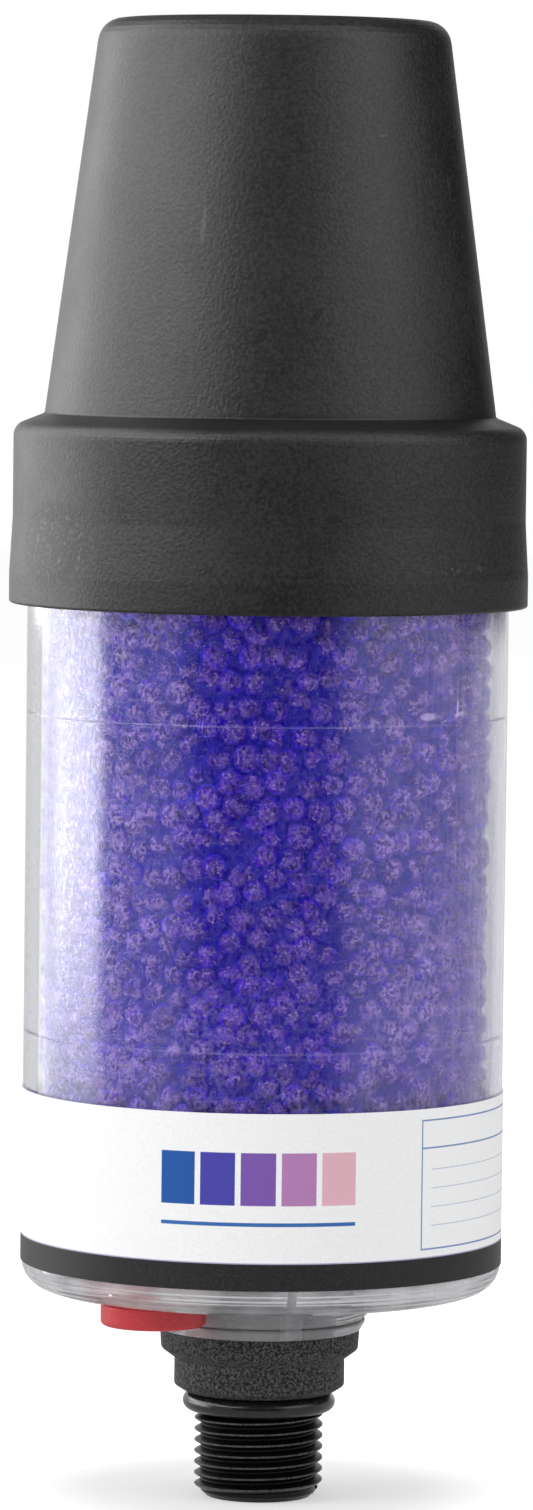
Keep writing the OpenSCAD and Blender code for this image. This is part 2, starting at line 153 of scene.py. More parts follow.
class Graph:
    """Node tree of one material or world, built in short calls."""

    def __init__(self, owner: bpy.types.Material | bpy.types.World) -> None:
        """Empties a tree.

        Args:
            owner: the material or world that the tree belongs to.
        """
        self.owner = owner
        owner.use_nodes = True
        self.tree = owner.node_tree
        self.tree.nodes.clear()

    def put(self, socket: Socket, value: Value) -> None:
        """Links a socket to another one, or sets its value.

        Args:
            socket: the input.
            value: an output socket, a number or a tuple.
        """
        if isinstance(value, bpy.types.NodeSocket):
            self.tree.links.new(value, socket)
        elif socket.type == "RGBA" and len(value) == 3:
            socket.default_value = (*value, 1.0)
        else:
            socket.default_value = value

    def node(self, kind: str, inputs: dict[str | int, Value] | None = None,
             **settings: object) -> bpy.types.Node:
        """Adds a shader node.

        Args:
            kind: the node's type name without its ShaderNode prefix.
            inputs: values or links of its sockets, by name or number.
            settings: properties of the node.

        Returns:
            The new node.
        """
        made = self.tree.nodes.new("ShaderNode" + kind)
        for key, value in settings.items():
            setattr(made, key, value)
        for key, value in (inputs or {}).items():
            self.put(made.inputs[key], value)
        return made

    def place(self) -> Socket:
        """Returns the object's own coordinates."""
        return self.node("TexCoord").outputs["Object"]

    def split(self) -> tuple[Socket, ...]:
        """Returns the three parts of the object's own coordinates."""
        return tuple(self.node("SeparateXYZ", {0: self.place()}).outputs)

    def joined(self, *parts: Value) -> Socket:
        """Returns a vector from its three parts."""
        return self.node("CombineXYZ", dict(enumerate(parts))).outputs[0]

    def attribute(self, name: str) -> Socket:
        """Returns a number that the mesh carries."""
        return self.node("Attribute", attribute_name=name).outputs["Fac"]

    def math(self, operation: str, a: Value, b: Value = 0.0, clamp: bool = False) -> Socket:
        """Returns a Math node's result, which clamp keeps between 0 and 1."""
        return self.node("Math", {0: a, 1: b}, operation=operation, use_clamp=clamp).outputs[0]

    def times(self, *values: Value) -> Socket:
        """Returns the product of values."""
        return reduce(lambda a, b: self.math("MULTIPLY", a, b), values)

    def plus(self, a: Value, b: Value, clamp: bool = False) -> Socket:
        """Returns the sum of two values, which clamp keeps between 0 and 1."""
        return self.math("ADD", a, b, clamp)

    def minus(self, a: Value, b: Value) -> Socket:
        """Returns the difference of two values."""
        return self.math("SUBTRACT", a, b)

    def squares(self, x: Socket, y: Socket) -> Socket:
        """Returns the sum of two squares."""
        return self.plus(self.times(x, x), self.times(y, y))

    def reach(self, x: Socket, y: Socket) -> Socket:
        """Returns how far a step of x and y leads."""
        return self.math("SQRT", self.squares(x, y))

    def shared(self, a: Socket, b: Socket, share: float) -> Socket:
        """Returns a sum in which the first value has the share and the second one the rest."""
        return self.plus(self.times(a, share), self.times(b, 1.0 - share))

    def towards(self, level: Value, end: float, mask: Socket) -> Socket:
        """Returns a level that becomes the end where the mask is 1."""
        return self.plus(level, self.times(mask, self.minus(end, level)))

    def wrapped(self, radius: float) -> tuple[Socket, Socket]:
        """Returns the way round the axis from the front towards +X, at a radius, and the height."""
        x, y, z = self.split()
        return self.times(self.math("ARCTAN2", x, self.times(y, -1.0)), radius), z

    def noise(self, grain: Grain, vector: Socket | None = None) -> Socket:
        """Returns a noise of about 0.5, read at a vector or at the object's coordinates."""
        inputs = {"Vector": vector or self.place(), "Scale": grain.scale,
                  "Detail": grain.detail, "Roughness": grain.roughness}
        return self.node("TexNoise", inputs).outputs["Fac"]

    def mottle(self, mottle: Mottle) -> Socket:
        """Returns as much of a noise as shows."""
        return self.remap(self.noise(mottle.grain), mottle.slope)

    def streaks(self, u: Socket, v: Socket, streaks: Streaks, finer: float = 1.0) -> Socket:
        """Returns a noise that is stretched on an unrolled wall, with its counts times finer."""
        across, up = self.times(u, streaks.round_count * finer), self.times(v, streaks.up_count * finer)
        return self.noise(streaks.grain, self.joined(across, up, streaks.layer))

    def wisps(self, u: Socket, v: Socket, wisps: Wisps) -> Socket:
        """Draws short broken wisps.

        Args:
            u: way round.
            v: height.
            wisps: their spacing and form.

        Returns:
            The wisps, 0 to 1.
        """
        lines = self.streaks(u, v, wisps.lines, 1.0 / wisps.spacing)
        breaks = self.streaks(u, v, wisps.breaks, 1.0 / wisps.spacing)
        aside = self.math("ABSOLUTE", self.minus(lines, NOISE_MIDDLE))
        return self.times(self.remap(aside, wisps.line), self.remap(breaks, wisps.whole))

    def cells(self, scale: float) -> Socket:
        """Returns the distance to the middle of the nearest cell, with scale cells in a metre."""
        return self.node("TexVoronoi", {"Vector": self.place(), "Scale": scale}).outputs["Distance"]

    def remap(self, value: Socket, slope: Slope) -> Socket:
        """Returns what follows a value on a slope."""
        inputs = dict(enumerate((value, slope.low, slope.high, slope.at_low, slope.at_high)))
        return self.node("MapRange", inputs, interpolation_type="SMOOTHSTEP", clamp=True).outputs[0]

    def band(self, value: Socket, band: Band) -> Socket:
        """Returns 1 inside a band of values and 0 outside it."""
        rise = Slope(band.low - band.soft, band.low + band.soft)
        fall = Slope(band.high - band.soft, band.high + band.soft, 1.0, 0.0)
        return self.times(self.remap(value, rise), self.remap(value, fall))

    def panel(self, u: Socket, v: Socket, across: Span, up: Span, soft: float) -> Socket:
        """Returns 1 inside a rectangle on an unrolled wall and 0 outside it."""
        return self.times(self.band(u, Band(*across, soft)), self.band(v, Band(*up, soft)))

    def spot(self, u: Socket, v: Socket, mark: Mark) -> Socket:
        """Marks a soft slanted ellipse on an unrolled wall.

        Args:
            u: way round.
            v: height.
            mark: where it is and how large.

        Returns:
            1 in its middle and 0 outside it.
        """
        du, dv = self.minus(u, mark.u * MM), self.minus(v, mark.v * MM)
        c, s = math.cos(math.radians(mark.slant_deg)), math.sin(math.radians(mark.slant_deg))
        long, wide = mark.half_length * MM, mark.half_width * MM
        along = self.plus(self.times(du, c / long), self.times(dv, s / long))
        aside = self.plus(self.times(du, -s / wide), self.times(dv, c / wide))
        return self.remap(self.squares(along, aside), SPOT_EDGE)

    def blend(self, share: Value, a: Value, b: Value) -> Socket:
        """Returns a mix of two colours, with a share of the second."""
        return self.node("Mix", {0: share, 6: a, 7: b}, data_type="RGBA").outputs[2]

    def dimmed(self, colour: Socket, shade: Socket) -> Socket:
        """Returns a colour multiplied by a shade."""
        inputs = {0: 1.0, 6: colour, 7: self.joined(shade, shade, shade)}
        return self.node("Mix", inputs, data_type="RGBA", blend_type="MULTIPLY").outputs[2]

    def ramp(self, value: Socket, places: tuple[float, ...], colours: tuple[Colour, ...]) -> Socket:
        """Colours a value.

        Args:
            value: place on the ramp, 0 to 1.
            places: where the colours are.
            colours: the colours.

        Returns:
            The colour.
        """
        made = self.node("ValToRGB", {0: value})
        elements = made.color_ramp.elements
        while len(elements) < len(places):
            elements.new(1.0)
        for element, place, colour in zip(elements, places, colours):
            element.position = place
            element.color = (*colour, 1.0)
        return made.outputs[0]

    def bump(self, height: Socket, relief: Relief) -> Socket:
        """Returns the normal that a relief bends."""
        inputs = {"Strength": relief.strength, "Distance": relief.depth, "Height": height}
        return self.node("Bump", inputs).outputs["Normal"]

    def rays(self, kinds: tuple[str, ...]) -> Socket:
        """Returns 1 for rays of the named kinds and 0 for the others."""
        path = self.node("LightPath").outputs
        return reduce(lambda a, b: self.math("MAXIMUM", a, b), [path[f"Is {kind} Ray"] for kind in kinds])

    def surface(self, **inputs: Value) -> Socket:
        """Returns the main shader, its sockets named with underscores for spaces."""
        named = {key.replace("_", " "): value for key, value in inputs.items()}
        return self.node("BsdfPrincipled", named).outputs[0]

    def mixed(self, share: Socket, a: Socket, b: Socket) -> Socket:
        """Returns a mix of two shaders, with a share of the second."""
        return self.node("MixShader", {0: share, 1: a, 2: b}).outputs[0]

    def finish(self, shader: Socket) -> bpy.types.Material:
        """Returns the material with the shader on its surface."""
        self.node("OutputMaterial", {"Surface": shader})
        return self.owner

    def skin(self, colour: Socket, rough: Socket, height: Socket, relief: Relief,
             **more: Value) -> bpy.types.Material:
        """Returns the material of an opaque skin with a relief and more of the shader's sockets."""
        normal = self.bump(height, relief)
        return self.finish(self.surface(Base_Color=colour, Roughness=rough, Normal=normal, **more))


def new_graph(name: str) -> Graph:
    """Returns the empty tree of a new material."""
    return Graph(bpy.data.materials.new(name))


class Finish(Protocol):
    """What dresses a piece."""

    def make(self) -> bpy.types.Material:
        """Returns the material."""


@dataclass(frozen=True)
class MouldedPlastic:
    """Opaque moulded plastic with a sparked grain and a cloudy tone."""

    name: str
    dark: Colour
    light: Colour
    roughness: float = 0.5
    grain: Grain = Grain(2000.0, 3.0, 0.6)
    relief: Relief = Relief(0.06 * MM, 0.8)
    cloud: Grain = Grain(38.0, 3.0, 0.55)
    grain_share: float = 0.6
    tone: Slope = Slope(0.34, 0.66)
    gloss_cloud: Span = (0.3, 0.7)
    gloss_drift: float = 0.05

    def make(self) -> bpy.types.Material:
        """Returns the material."""
        g = new_graph(self.name)
        fine, cloud = g.noise(self.grain), g.noise(self.cloud)
        tone = g.remap(g.shared(fine, cloud, self.grain_share), self.tone)
        drift = self.gloss_drift
        gloss = Slope(*self.gloss_cloud, self.roughness - drift, self.roughness + drift)
        return g.skin(g.blend(tone, self.dark, self.light), g.remap(cloud, gloss), fine, self.relief)


@dataclass(frozen=True)
class CapPlastic:
    """Black moulding with a fine sparked grain, pale rubbed patches, scuffs and scratches."""

    name: str = "cap_plastic"
    dark: Colour = (0.0035, 0.0034, 0.0037)
    light: Colour = (0.0190, 0.0182, 0.0188)
    rubbed: Colour = (0.090, 0.090, 0.092)
    scratched: Colour = (0.085, 0.085, 0.087)
    scuffed: Colour = (0.0010, 0.0010, 0.0010)
    radius: float = 35.0 * MM
    grain: Grain = Grain(1750.0, 2.0, 0.55)
    cloud: Grain = Grain(42.0, 4.0, 0.6)
    grain_share: float = 0.72
    tone: Slope = Slope(0.36, 0.66)
    crumbs: Mottle = Mottle(Grain(1150.0, 3.0, 0.7), Slope(0.52, 0.70))
    wear: Mottle = Mottle(Grain(14.0), Slope(0.50, 0.72))
    wear_share: float = 0.25
    wear_matt: float = 0.3
    # The shoulder crease and the step line at the skirt's flare turn to the dark tone: painted shade.
    corner: Band = Band(160.9 * MM, 163.4 * MM, 0.6 * MM)
    corner_shade_share: float = 0.75
    step_line: Band = Band(137.9 * MM, 138.2 * MM, 0.25 * MM)
    step_shade_share: float = 0.70
    step_shade_breaks: Mottle = Mottle(Grain(60.0, 3.0), Slope(0.35, 0.60))
    scuffs: tuple[Mark, ...] = (
        Mark(-1.6, 175.6, 2.0, 0.70, 52.0),
        Mark(7.4, 179.2, 1.9, 0.75, 48.0),
        Mark(29.5, 220.6, 2.2, 0.60, 8.0),
        Mark(-27.0, 219.6, 1.8, 0.50, 30.0),
    )
    scuff_breaks: Slope = Slope(0.26, 0.46)
    scuff_share: float = 0.9
    scratches: tuple[Mark, ...] = (
        Mark(-12.0, 193.0, 3.6, 0.55, 86.0),
        Mark(38.0, 200.0, 1.7, 0.18, 100.0),
        Mark(21.0, 207.5, 1.4, 0.18, 6.0),
        Mark(-20.0, 181.0, 1.2, 0.16, 120.0),
    )
    scratch_share: float = 0.4
    rub: tuple[Mark, ...] = (
        Mark(-34.0, 142.0, 10.0, 8.0),
        Mark(29.0, 138.9, 9.0, 0.9),
    )
    rub_share: float = 0.75
    gloss: Slope = Slope(0.35, 0.75, 0.40, 0.50)
    specular: float = 0.35
    relief: Relief = Relief(0.10 * MM, 0.85)

    def make(self) -> bpy.types.Material:
        """Returns the material."""
        g = new_graph(self.name)
        u, v = g.wrapped(self.radius)
        fine, cloud = g.noise(self.grain), g.noise(self.cloud)
        tone = g.remap(g.shared(fine, cloud, self.grain_share), self.tone)
        colour = g.blend(tone, self.dark, self.light)
        pale_layer = g.times(g.mottle(self.wear), self.wear_share)
        for mark in self.rub:
            pale_layer = g.plus(pale_layer, g.times(g.spot(u, v, mark), self.rub_share))
        colour = g.blend(g.times(g.mottle(self.crumbs), pale_layer), colour, self.rubbed)
        # painted shade in the shoulder crease and along the step line
        corner = g.times(g.band(v, self.corner), self.corner_shade_share)
        step_line = g.times(g.band(v, self.step_line), g.mottle(self.step_shade_breaks), self.step_shade_share)
        painted_shade = g.plus(corner, step_line, clamp=True)
        colour = g.blend(painted_shade, colour, self.dark)
        for mark in self.scratches:
            colour = g.blend(g.times(g.spot(u, v, mark), self.scratch_share), colour, self.scratched)
        for mark in self.scuffs:
            broken = g.times(g.spot(u, v, mark), g.remap(fine, self.scuff_breaks), self.scuff_share)
            colour = g.blend(broken, colour, self.scuffed)
        rough = g.remap(g.plus(cloud, g.times(pale_layer, self.wear_matt)), self.gloss)
        return g.skin(colour, rough, fine, self.relief, Specular_IOR_Level=self.specular)


@dataclass(frozen=True)
class FootNylon:
    """Glass-filled nylon: coarse and speckled on the steps, smooth and glossier on the thread."""

    name: str = "foot_nylon"
    dark: Colour = (0.006, 0.006, 0.0063)
    light: Colour = (0.092, 0.092, 0.093)
    speckle: Colour = (0.15, 0.15, 0.15)
    flank: Colour = (0.0020, 0.0020, 0.0022)
    # Lighter broken lines on the thread's crests: painted highlight.
    crest_highlight: Colour = (0.120, 0.120, 0.122)
    steps_z: Slope = Slope(1.0 * MM, 2.5 * MM)
    grain: Grain = Grain(2300.0, 3.0, 0.65)
    tone: Slope = Slope(0.38, 0.66)
    speckles: Mottle = Mottle(Grain(2700.0, 2.0, 0.6), Slope(0.58, 0.70))
    speckle_share: float = 0.55
    crest_r: Slope = Slope(10.36 * MM, 10.44 * MM)
    crest_highlight_breaks: Slope = Slope(0.35, 0.55, 0.25, 1.0)
    crest_highlight_share: float = 0.8
    gloss: Slope = Slope(0.0, 1.0, 0.34, 0.62)
    specular: float = 0.18
    relief: Relief = Relief(0.09 * MM, 0.9)

    def make(self) -> bpy.types.Material:
        """Returns the material."""
        g = new_graph(self.name)
        x, y, z = g.split()
        steps, coarse = g.remap(z, self.steps_z), g.noise(self.grain)
        base = g.blend(g.remap(coarse, self.tone), self.dark, self.light)
        base = g.blend(g.times(g.mottle(self.speckles), self.speckle_share), base, self.speckle)
        # painted highlight along the thread's crests
        crest_highlight = g.times(g.remap(g.reach(x, y), self.crest_r), g.remap(coarse, self.crest_highlight_breaks),
                        self.crest_highlight_share)
        colour = g.blend(steps, g.blend(crest_highlight, self.flank, self.crest_highlight), base)
        return g.skin(colour, g.remap(steps, self.gloss), g.times(coarse, steps), self.relief,
                      Specular_IOR_Level=self.specular)


@dataclass(frozen=True)
class Rubber:
    """Moulded rubber with a faint bloom."""

    name: str
    colour: Colour
    bloom: Colour
    roughness: float
    dust: Mottle = Mottle(Grain(420.0, 4.0, 0.65), Slope(0.42, 0.75))
    dust_matt: float = 0.12
    grain: Grain = Grain(1700.0)
    relief: Relief = Relief(0.02 * MM, 0.5)

    def make(self) -> bpy.types.Material:
        """Returns the material."""
        g = new_graph(self.name)
        dust = g.mottle(self.dust)
        rough = g.remap(dust, Slope(0.0, 1.0, self.roughness, self.roughness + self.dust_matt))
        return g.skin(g.blend(dust, self.colour, self.bloom), rough, g.noise(self.grain), self.relief)


@dataclass(frozen=True)
class Felt:
    """Pressed fibres or open foam: matt, mottled and deeply dimpled."""

    name: str
    dark: Colour
    light: Colour
    fibres: Grain
    pore_ratio: float = 0.7
    tone: Slope = Slope(0.05, 0.35)
    gloss: Slope = Slope(0.3, 0.7, 0.85, 1.0)
    relief: Relief = Relief(0.4 * MM, 0.9)

    def make(self) -> bpy.types.Material:
        """Returns the material."""
        g = new_graph(self.name)
        fibres = g.noise(self.fibres)
        height = g.times(fibres, g.cells(self.fibres.scale * self.pore_ratio))
        colour = g.blend(g.remap(height, self.tone), self.dark, self.light)
        return g.skin(colour, g.remap(fibres, self.gloss), height, self.relief)


@dataclass(frozen=True)
class BrushedSteel:
    """Rolled band steel with fine lines round the ring."""

    name: str = "clamp_steel"
    dark: Colour = (0.42, 0.42, 0.43)
    light: Colour = (0.66, 0.66, 0.67)
    radius: float = 29.0 * MM
    lines: Streaks = Streaks(120.0, 9000.0, Grain(1.0, 3.0, 0.6))
    gloss: Slope = Slope(0.3, 0.7, 0.24, 0.42)
    relief: Relief = Relief(0.01 * MM, 0.6)

    def make(self) -> bpy.types.Material:
        """Returns the material."""
        g = new_graph(self.name)
        lines = g.streaks(*g.wrapped(self.radius), self.lines)
        colour = g.blend(lines, self.dark, self.light)
        return g.skin(colour, g.remap(lines, self.gloss), lines, self.relief, Metallic=1.0)


@dataclass(frozen=True)
class ClearPlastic:
    """Clear moulding with a dusty, wrinkled inner skin, drawn streaks, scratches and mould lines.

    Lamps shine through it, so that the filling is lit as in the open. The dust is a thin matt film
    over the clear body: violet inside the wall, grey outside it, and milky in the floor and the
    neck, where a painted red glow over the vent caps stands for the red caps seen through it.
    """

    name: str = "clear_plastic"
    tint: Colour = (0.94, 0.95, 0.965)
    veil: Colour = (0.58, 0.42, 0.90)
    grey: Colour = (0.80, 0.81, 0.83)
    milk: Colour = (0.84, 0.84, 0.85)
    # painted red glow: the colour of the vent caps seen through the milky floor
    glow: Colour = (0.70, 0.20, 0.22)
    lamp_tint: Colour = (0.96, 0.965, 0.975)
    absorption: float = 130.0
    ior: float = 1.56
    radius: float = 39.1 * MM
    outer_skin: Slope = Slope(37.9 * MM, 38.1 * MM)
    wall_z: Slope = Slope(28.0 * MM, 31.0 * MM)
    wisps: Wisps = Wisps(0.90 * MM)
    wisp_patches: Mottle = Mottle(Grain(95.0, 3.0, 0.6), Slope(0.36, 0.66))
    even_dust: float = 0.16
    drawn: Streaks = Streaks(1000.0, 70.0, Grain(1.0, 3.0, 0.55))
    drawn_lines: Slope = Slope(0.48, 0.70)
    drawn_side: Band = Band(24.0 * MM, 56.0 * MM, 9.0 * MM)
    drawn_share: float = 0.24
    drawn_rest: float = 0.012
    swept: Streaks = Streaks(45.0, 1500.0, Grain(1.0), 3.0)
    swept_lines: Slope = Slope(0.66, 0.74)
    swept_share: float = 0.16
    mould_line: Band = Band(36.0 * MM, 36.14 * MM, 0.05 * MM)
    mould_breaks: Mottle = Mottle(Grain(160.0, 3.0, 0.6), Slope(0.46, 0.62, 0.25, 2.0))
    rings: tuple[Band, ...] = (Band(114.2 * MM, 114.3 * MM, 0.05 * MM),
                               Band(62.5 * MM, 62.6 * MM, 0.05 * MM))
    line_relief: float = 0.6
    speck_count: float = 820.0
    speck: Slope = Slope(0.10, 0.22, 1.0, 0.0)
    speck_patches: Mottle = Mottle(Grain(330.0, 1.0), Slope(0.60, 0.68))
    smears: tuple[Mark, ...] = (
        Mark(28.9, 115.6, 2.2, 0.75),
        Mark(36.6, 115.8, 1.6, 0.45, 8.0),
        Mark(36.1, 116.6, 1.8, 0.35, 88.0),
    )
    streak_film: float = 0.6
    line_film: float = 0.22
    speck_film: float = 0.24
    smear_film: float = 0.60
    side_haze: Slope = Slope(6.0 * MM, 30.0 * MM, 0.05, 0.20)
    low_haze: Slope = Slope(56.0 * MM, 88.0 * MM, 0.14, 0.0)
    # Less film on the lamp-lit left side: painted shade.
    lit_side: Slope = Slope(-38.0 * MM, -29.0 * MM, 0.25, 1.0)
    outer_dust: Slope = Slope(0.0, 1.0, 1.0, 0.15)
    # A grey streaked film on the outer skin at the right edge: painted sheen.
    sheen_side: Band = Band(43.0 * MM, 58.0 * MM, 6.0 * MM)
    sheen_lines: Slope = Slope(0.35, 0.65, 0.06, 0.20)
    cloud: Mottle = Mottle(Grain(120.0), Slope(0.35, 0.65, 0.05, 0.15))
    cloud_r: Slope = Slope(24.0 * MM, 37.0 * MM, 0.80, 1.9)
    neck_r: Slope = Slope(17.5 * MM, 20.5 * MM, 0.075, 0.0)
    # reach and share of the painted red glow over the vent caps
    painted_glow_r: Slope = Slope(7.0 * MM, 13.0 * MM, 0.95, 0.0)
    painted_glow_film: float = 0.12
    side_relief: Slope = Slope(38.0 * MM, 47.0 * MM, 1.0, 0.06)
    outer_relief: Slope = Slope(0.0, 1.0, 1.0, 0.12)
    gloss: Slope = Slope(0.0, 0.4, 0.012, 0.06)
    relief: Relief = Relief(0.03 * MM, 0.8)

    def wall_lines(self, g: Graph, u: Socket, v: Socket) -> Socket:
        """Draws the broken mould line and the rings round the wall.

        Args:
            g: the material's tree.
            u: way round.
            v: height.

        Returns:
            1 on the lines, more where the mould line is strong, and 0 beside them.
        """
        lines = g.times(g.mottle(self.mould_breaks), g.band(u, self.mould_line))
        for ring in self.rings:
            lines = g.plus(lines, g.band(v, ring))
        return lines

    def wall_film(self, g: Graph, u: Socket, v: Socket, wisps: Socket, lines: Socket,
                  outside: Socket) -> Socket:
        """Gathers the dust on the wall, and a painted sheen on the outer skin at its right edge.

        Args:
            g: the material's tree.
            u: way round.
            v: height.
            wisps: wisps of dust.
            lines: mould line and rings.
            outside: 1 on the outer skin.

        Returns:
            The film's share.
        """
        drawn = g.streaks(u, v, self.drawn)
        side = g.times(g.band(u, self.drawn_side), self.drawn_share)
        down = g.times(g.remap(drawn, self.drawn_lines), g.plus(side, self.drawn_rest))
        across = g.times(g.remap(g.streaks(u, v, self.swept), self.swept_lines), self.swept_share)
        specks = g.times(g.remap(g.cells(self.speck_count), self.speck), g.mottle(self.speck_patches))
        haze = g.plus(g.remap(g.math("ABSOLUTE", u), self.side_haze), g.remap(v, self.low_haze))
        # the film is thinned on the lamp-lit left side: painted shade
        haze = g.times(haze, g.remap(u, self.lit_side))
        film = g.times(g.plus(g.times(wisps, g.mottle(self.wisp_patches)), self.even_dust), haze)
        shares = [(down, self.streak_film), (across, self.streak_film), (lines, self.line_film),
                  (specks, self.speck_film)]
        shares += [(g.spot(u, v, smear), self.smear_film) for smear in self.smears]
        for more, share in shares:
            film = g.plus(film, g.times(more, share))
        # painted sheen on the outer skin at the right edge
        pale_layer = g.times(g.band(u, self.sheen_side), g.remap(drawn, self.sheen_lines))
        return g.plus(g.times(film, g.remap(outside, self.outer_dust)), g.times(pale_layer, outside))

    def painted_cap_glow(self, g: Graph, x: Socket, y: Socket) -> Socket:
        """Marks where the floor takes a painted red glow over the vent caps.

        Args:
            g: the material's tree.
            x: place across the front.
            y: place from the front to the back.

        Returns:
            The glow's share.
        """
        glow: Value = 0.0
        for node in ("intake_vent_cap", "outlet_vent_cap"):
            middle = sum(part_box(node), Vector()) / 2
            far = g.reach(g.minus(x, middle.x), g.minus(y, middle.y))
            glow = g.plus(glow, g.remap(far, self.painted_glow_r))
        return glow

    def make(self) -> bpy.types.Material:
        """Returns the material."""
        g = new_graph(self.name)
        u, v = g.wrapped(self.radius)
        x, y, _ = g.split()
        reach = g.reach(x, y)
        outside, wall = g.remap(reach, self.outer_skin), g.remap(v, self.wall_z)
        wisps, lines = g.wisps(u, v, self.wisps), self.wall_lines(g, u, v)
        # painted red glow over the vent caps, laid into the milky film
        glow = self.painted_cap_glow(g, x, y)
        cloud = g.plus(g.times(g.mottle(self.cloud), g.remap(reach, self.cloud_r)),
                       g.times(glow, self.painted_glow_film))
        cloud = g.plus(cloud, g.remap(reach, self.neck_r))
        dust = g.plus(g.times(self.wall_film(g, u, v, wisps, lines, outside), wall),
                      g.times(cloud, g.minus(1.0, wall)), clamp=True)
        height = g.times(wisps, g.remap(g.math("ABSOLUTE", u), self.side_relief),
                         g.remap(outside, self.outer_relief))
        height = g.times(g.plus(height, g.times(lines, self.line_relief)), wall)
        clear = g.surface(Base_Color=self.tint, Roughness=g.remap(dust, self.gloss), IOR=self.ior,
                          Transmission_Weight=1.0, Normal=g.bump(height, self.relief))
        colour = g.blend(wall, g.blend(glow, self.milk, self.glow), g.blend(outside, self.veil, self.grey))
        skin = g.mixed(dust, clear, g.node("BsdfDiffuse", {"Color": colour}).outputs[0])
        through = g.node("BsdfTransparent", {0: self.lamp_tint}).outputs[0]
        body = g.node("VolumeAbsorption", {"Color": self.grey, "Density": self.absorption}).outputs[0]
        g.node("OutputMaterial", {"Surface": g.mixed(g.rays(LIGHT_RAYS), skin, through), "Volume": body})
        return g.owner


class GelTone(Enum):
    """Colours of the gel from its sides to its dusty face at the wall; the bright saturated blue is partly
    the gel's own colour and partly painted glow of light through the gel.
    """

    BEAD = ((0.017, 0.000, 0.860), (0.034, 0.000, 0.680), (0.060, 0.004, 0.460), (0.100, 0.036, 0.430))
    HOLLOW = ((0.007, 0.000, 0.480), (0.011, 0.000, 0.660), (0.015, 0.000, 0.840), (0.022, 0.000, 0.840))


@dataclass(frozen=True)
class SilicaGel:
    """Silica gel: deep blue, with a wrinkled skin of lilac dust where it lies against the wall."""

    name: str
    tone: GelTone
    dust: Colour = (0.440, 0.285, 0.800)
    crumb: Colour = (0.360, 0.240, 0.660)
    furrow: Colour = (0.008, 0.000, 0.170)
    rim: Colour = (0.110, 0.140, 0.850)
    wall_r: float = 36.0 * MM
    mottle: Grain = Grain(900.0, 5.0, 0.7)
    mottle_reach: float = 1.5
    tone_places: tuple[float, ...] = (0.18, 0.52, 0.80, 1.0)
    shade: Slope = Slope(0.0, 1.0, 0.76, 1.06)
    film: Mottle = Mottle(Grain(210.0, 3.0, 0.6), Slope(0.34, 0.60, 0.30, 1.0))
    film_side: Slope = Slope(3.0 * MM, 24.0 * MM, 0.32, 1.0)
    film_face: Slope = Slope(0.38, 0.82, 0.20, 1.0)
    wisps: Wisps = Wisps(0.75 * MM)
    wisp_cover: Slope = Slope(0.15, 0.85, 0.0, 0.88)
    furrows: Mottle = Mottle(Grain(800.0, 3.0, 0.65), Slope(0.38, 0.55, 0.85, 0.0))
    furrow_face: Slope = Slope(0.35, 0.75, 0.05, 1.0)
    crumbs: Mottle = Mottle(Grain(1700.0, 2.0, 0.6), Slope(0.56, 0.68, 0.0, 0.8))
    crumb_face: Slope = Slope(0.40, 0.85)
    clear_beads: Slope = Slope(0.965, 0.970)
    rim_face: Band = Band(0.30, 0.55, 0.08)
    rim_share: float = 0.8
    gloss: Slope = Slope(0.3, 0.7, 0.35, 0.6)
    specular: float = 0.12
    relief: Relief = Relief(0.2 * MM, 0.7)

    def make(self) -> bpy.types.Material:
        """Returns the material."""
        g = new_graph(self.name)
        own, face = g.attribute("tone"), g.attribute("face")
        u, v = g.wrapped(self.wall_r)
        mottle = g.noise(self.mottle)
        level = g.plus(face, g.times(g.minus(mottle, NOISE_MIDDLE), self.mottle_reach))
        # the ramp's bright saturated blue is partly the gel's own colour and partly painted glow of light
        # through the gel; the lilac face is dust
        colour = g.dimmed(g.ramp(level, self.tone_places, self.tone.value), g.remap(own, self.shade))
        film = g.times(g.mottle(self.film), g.remap(g.math("ABSOLUTE", u), self.film_side))
        cover = g.times(g.remap(face, self.film_face), film)
        ridges = g.times(g.remap(g.wisps(u, v, self.wisps), self.wisp_cover), cover)
        clear = g.times(g.remap(own, self.clear_beads), g.band(face, self.rim_face), self.rim_share)
        for share, layer in (
                (g.times(g.mottle(self.furrows), g.remap(face, self.furrow_face)), self.furrow),
                (ridges, self.dust),
                (g.times(g.mottle(self.crumbs), g.remap(face, self.crumb_face)), self.crumb),
                (clear, self.rim)):
            colour = g.blend(share, colour, layer)
        return g.skin(colour, g.remap(mottle, self.gloss), mottle, self.relief,
                      Specular_IOR_Level=self.specular)


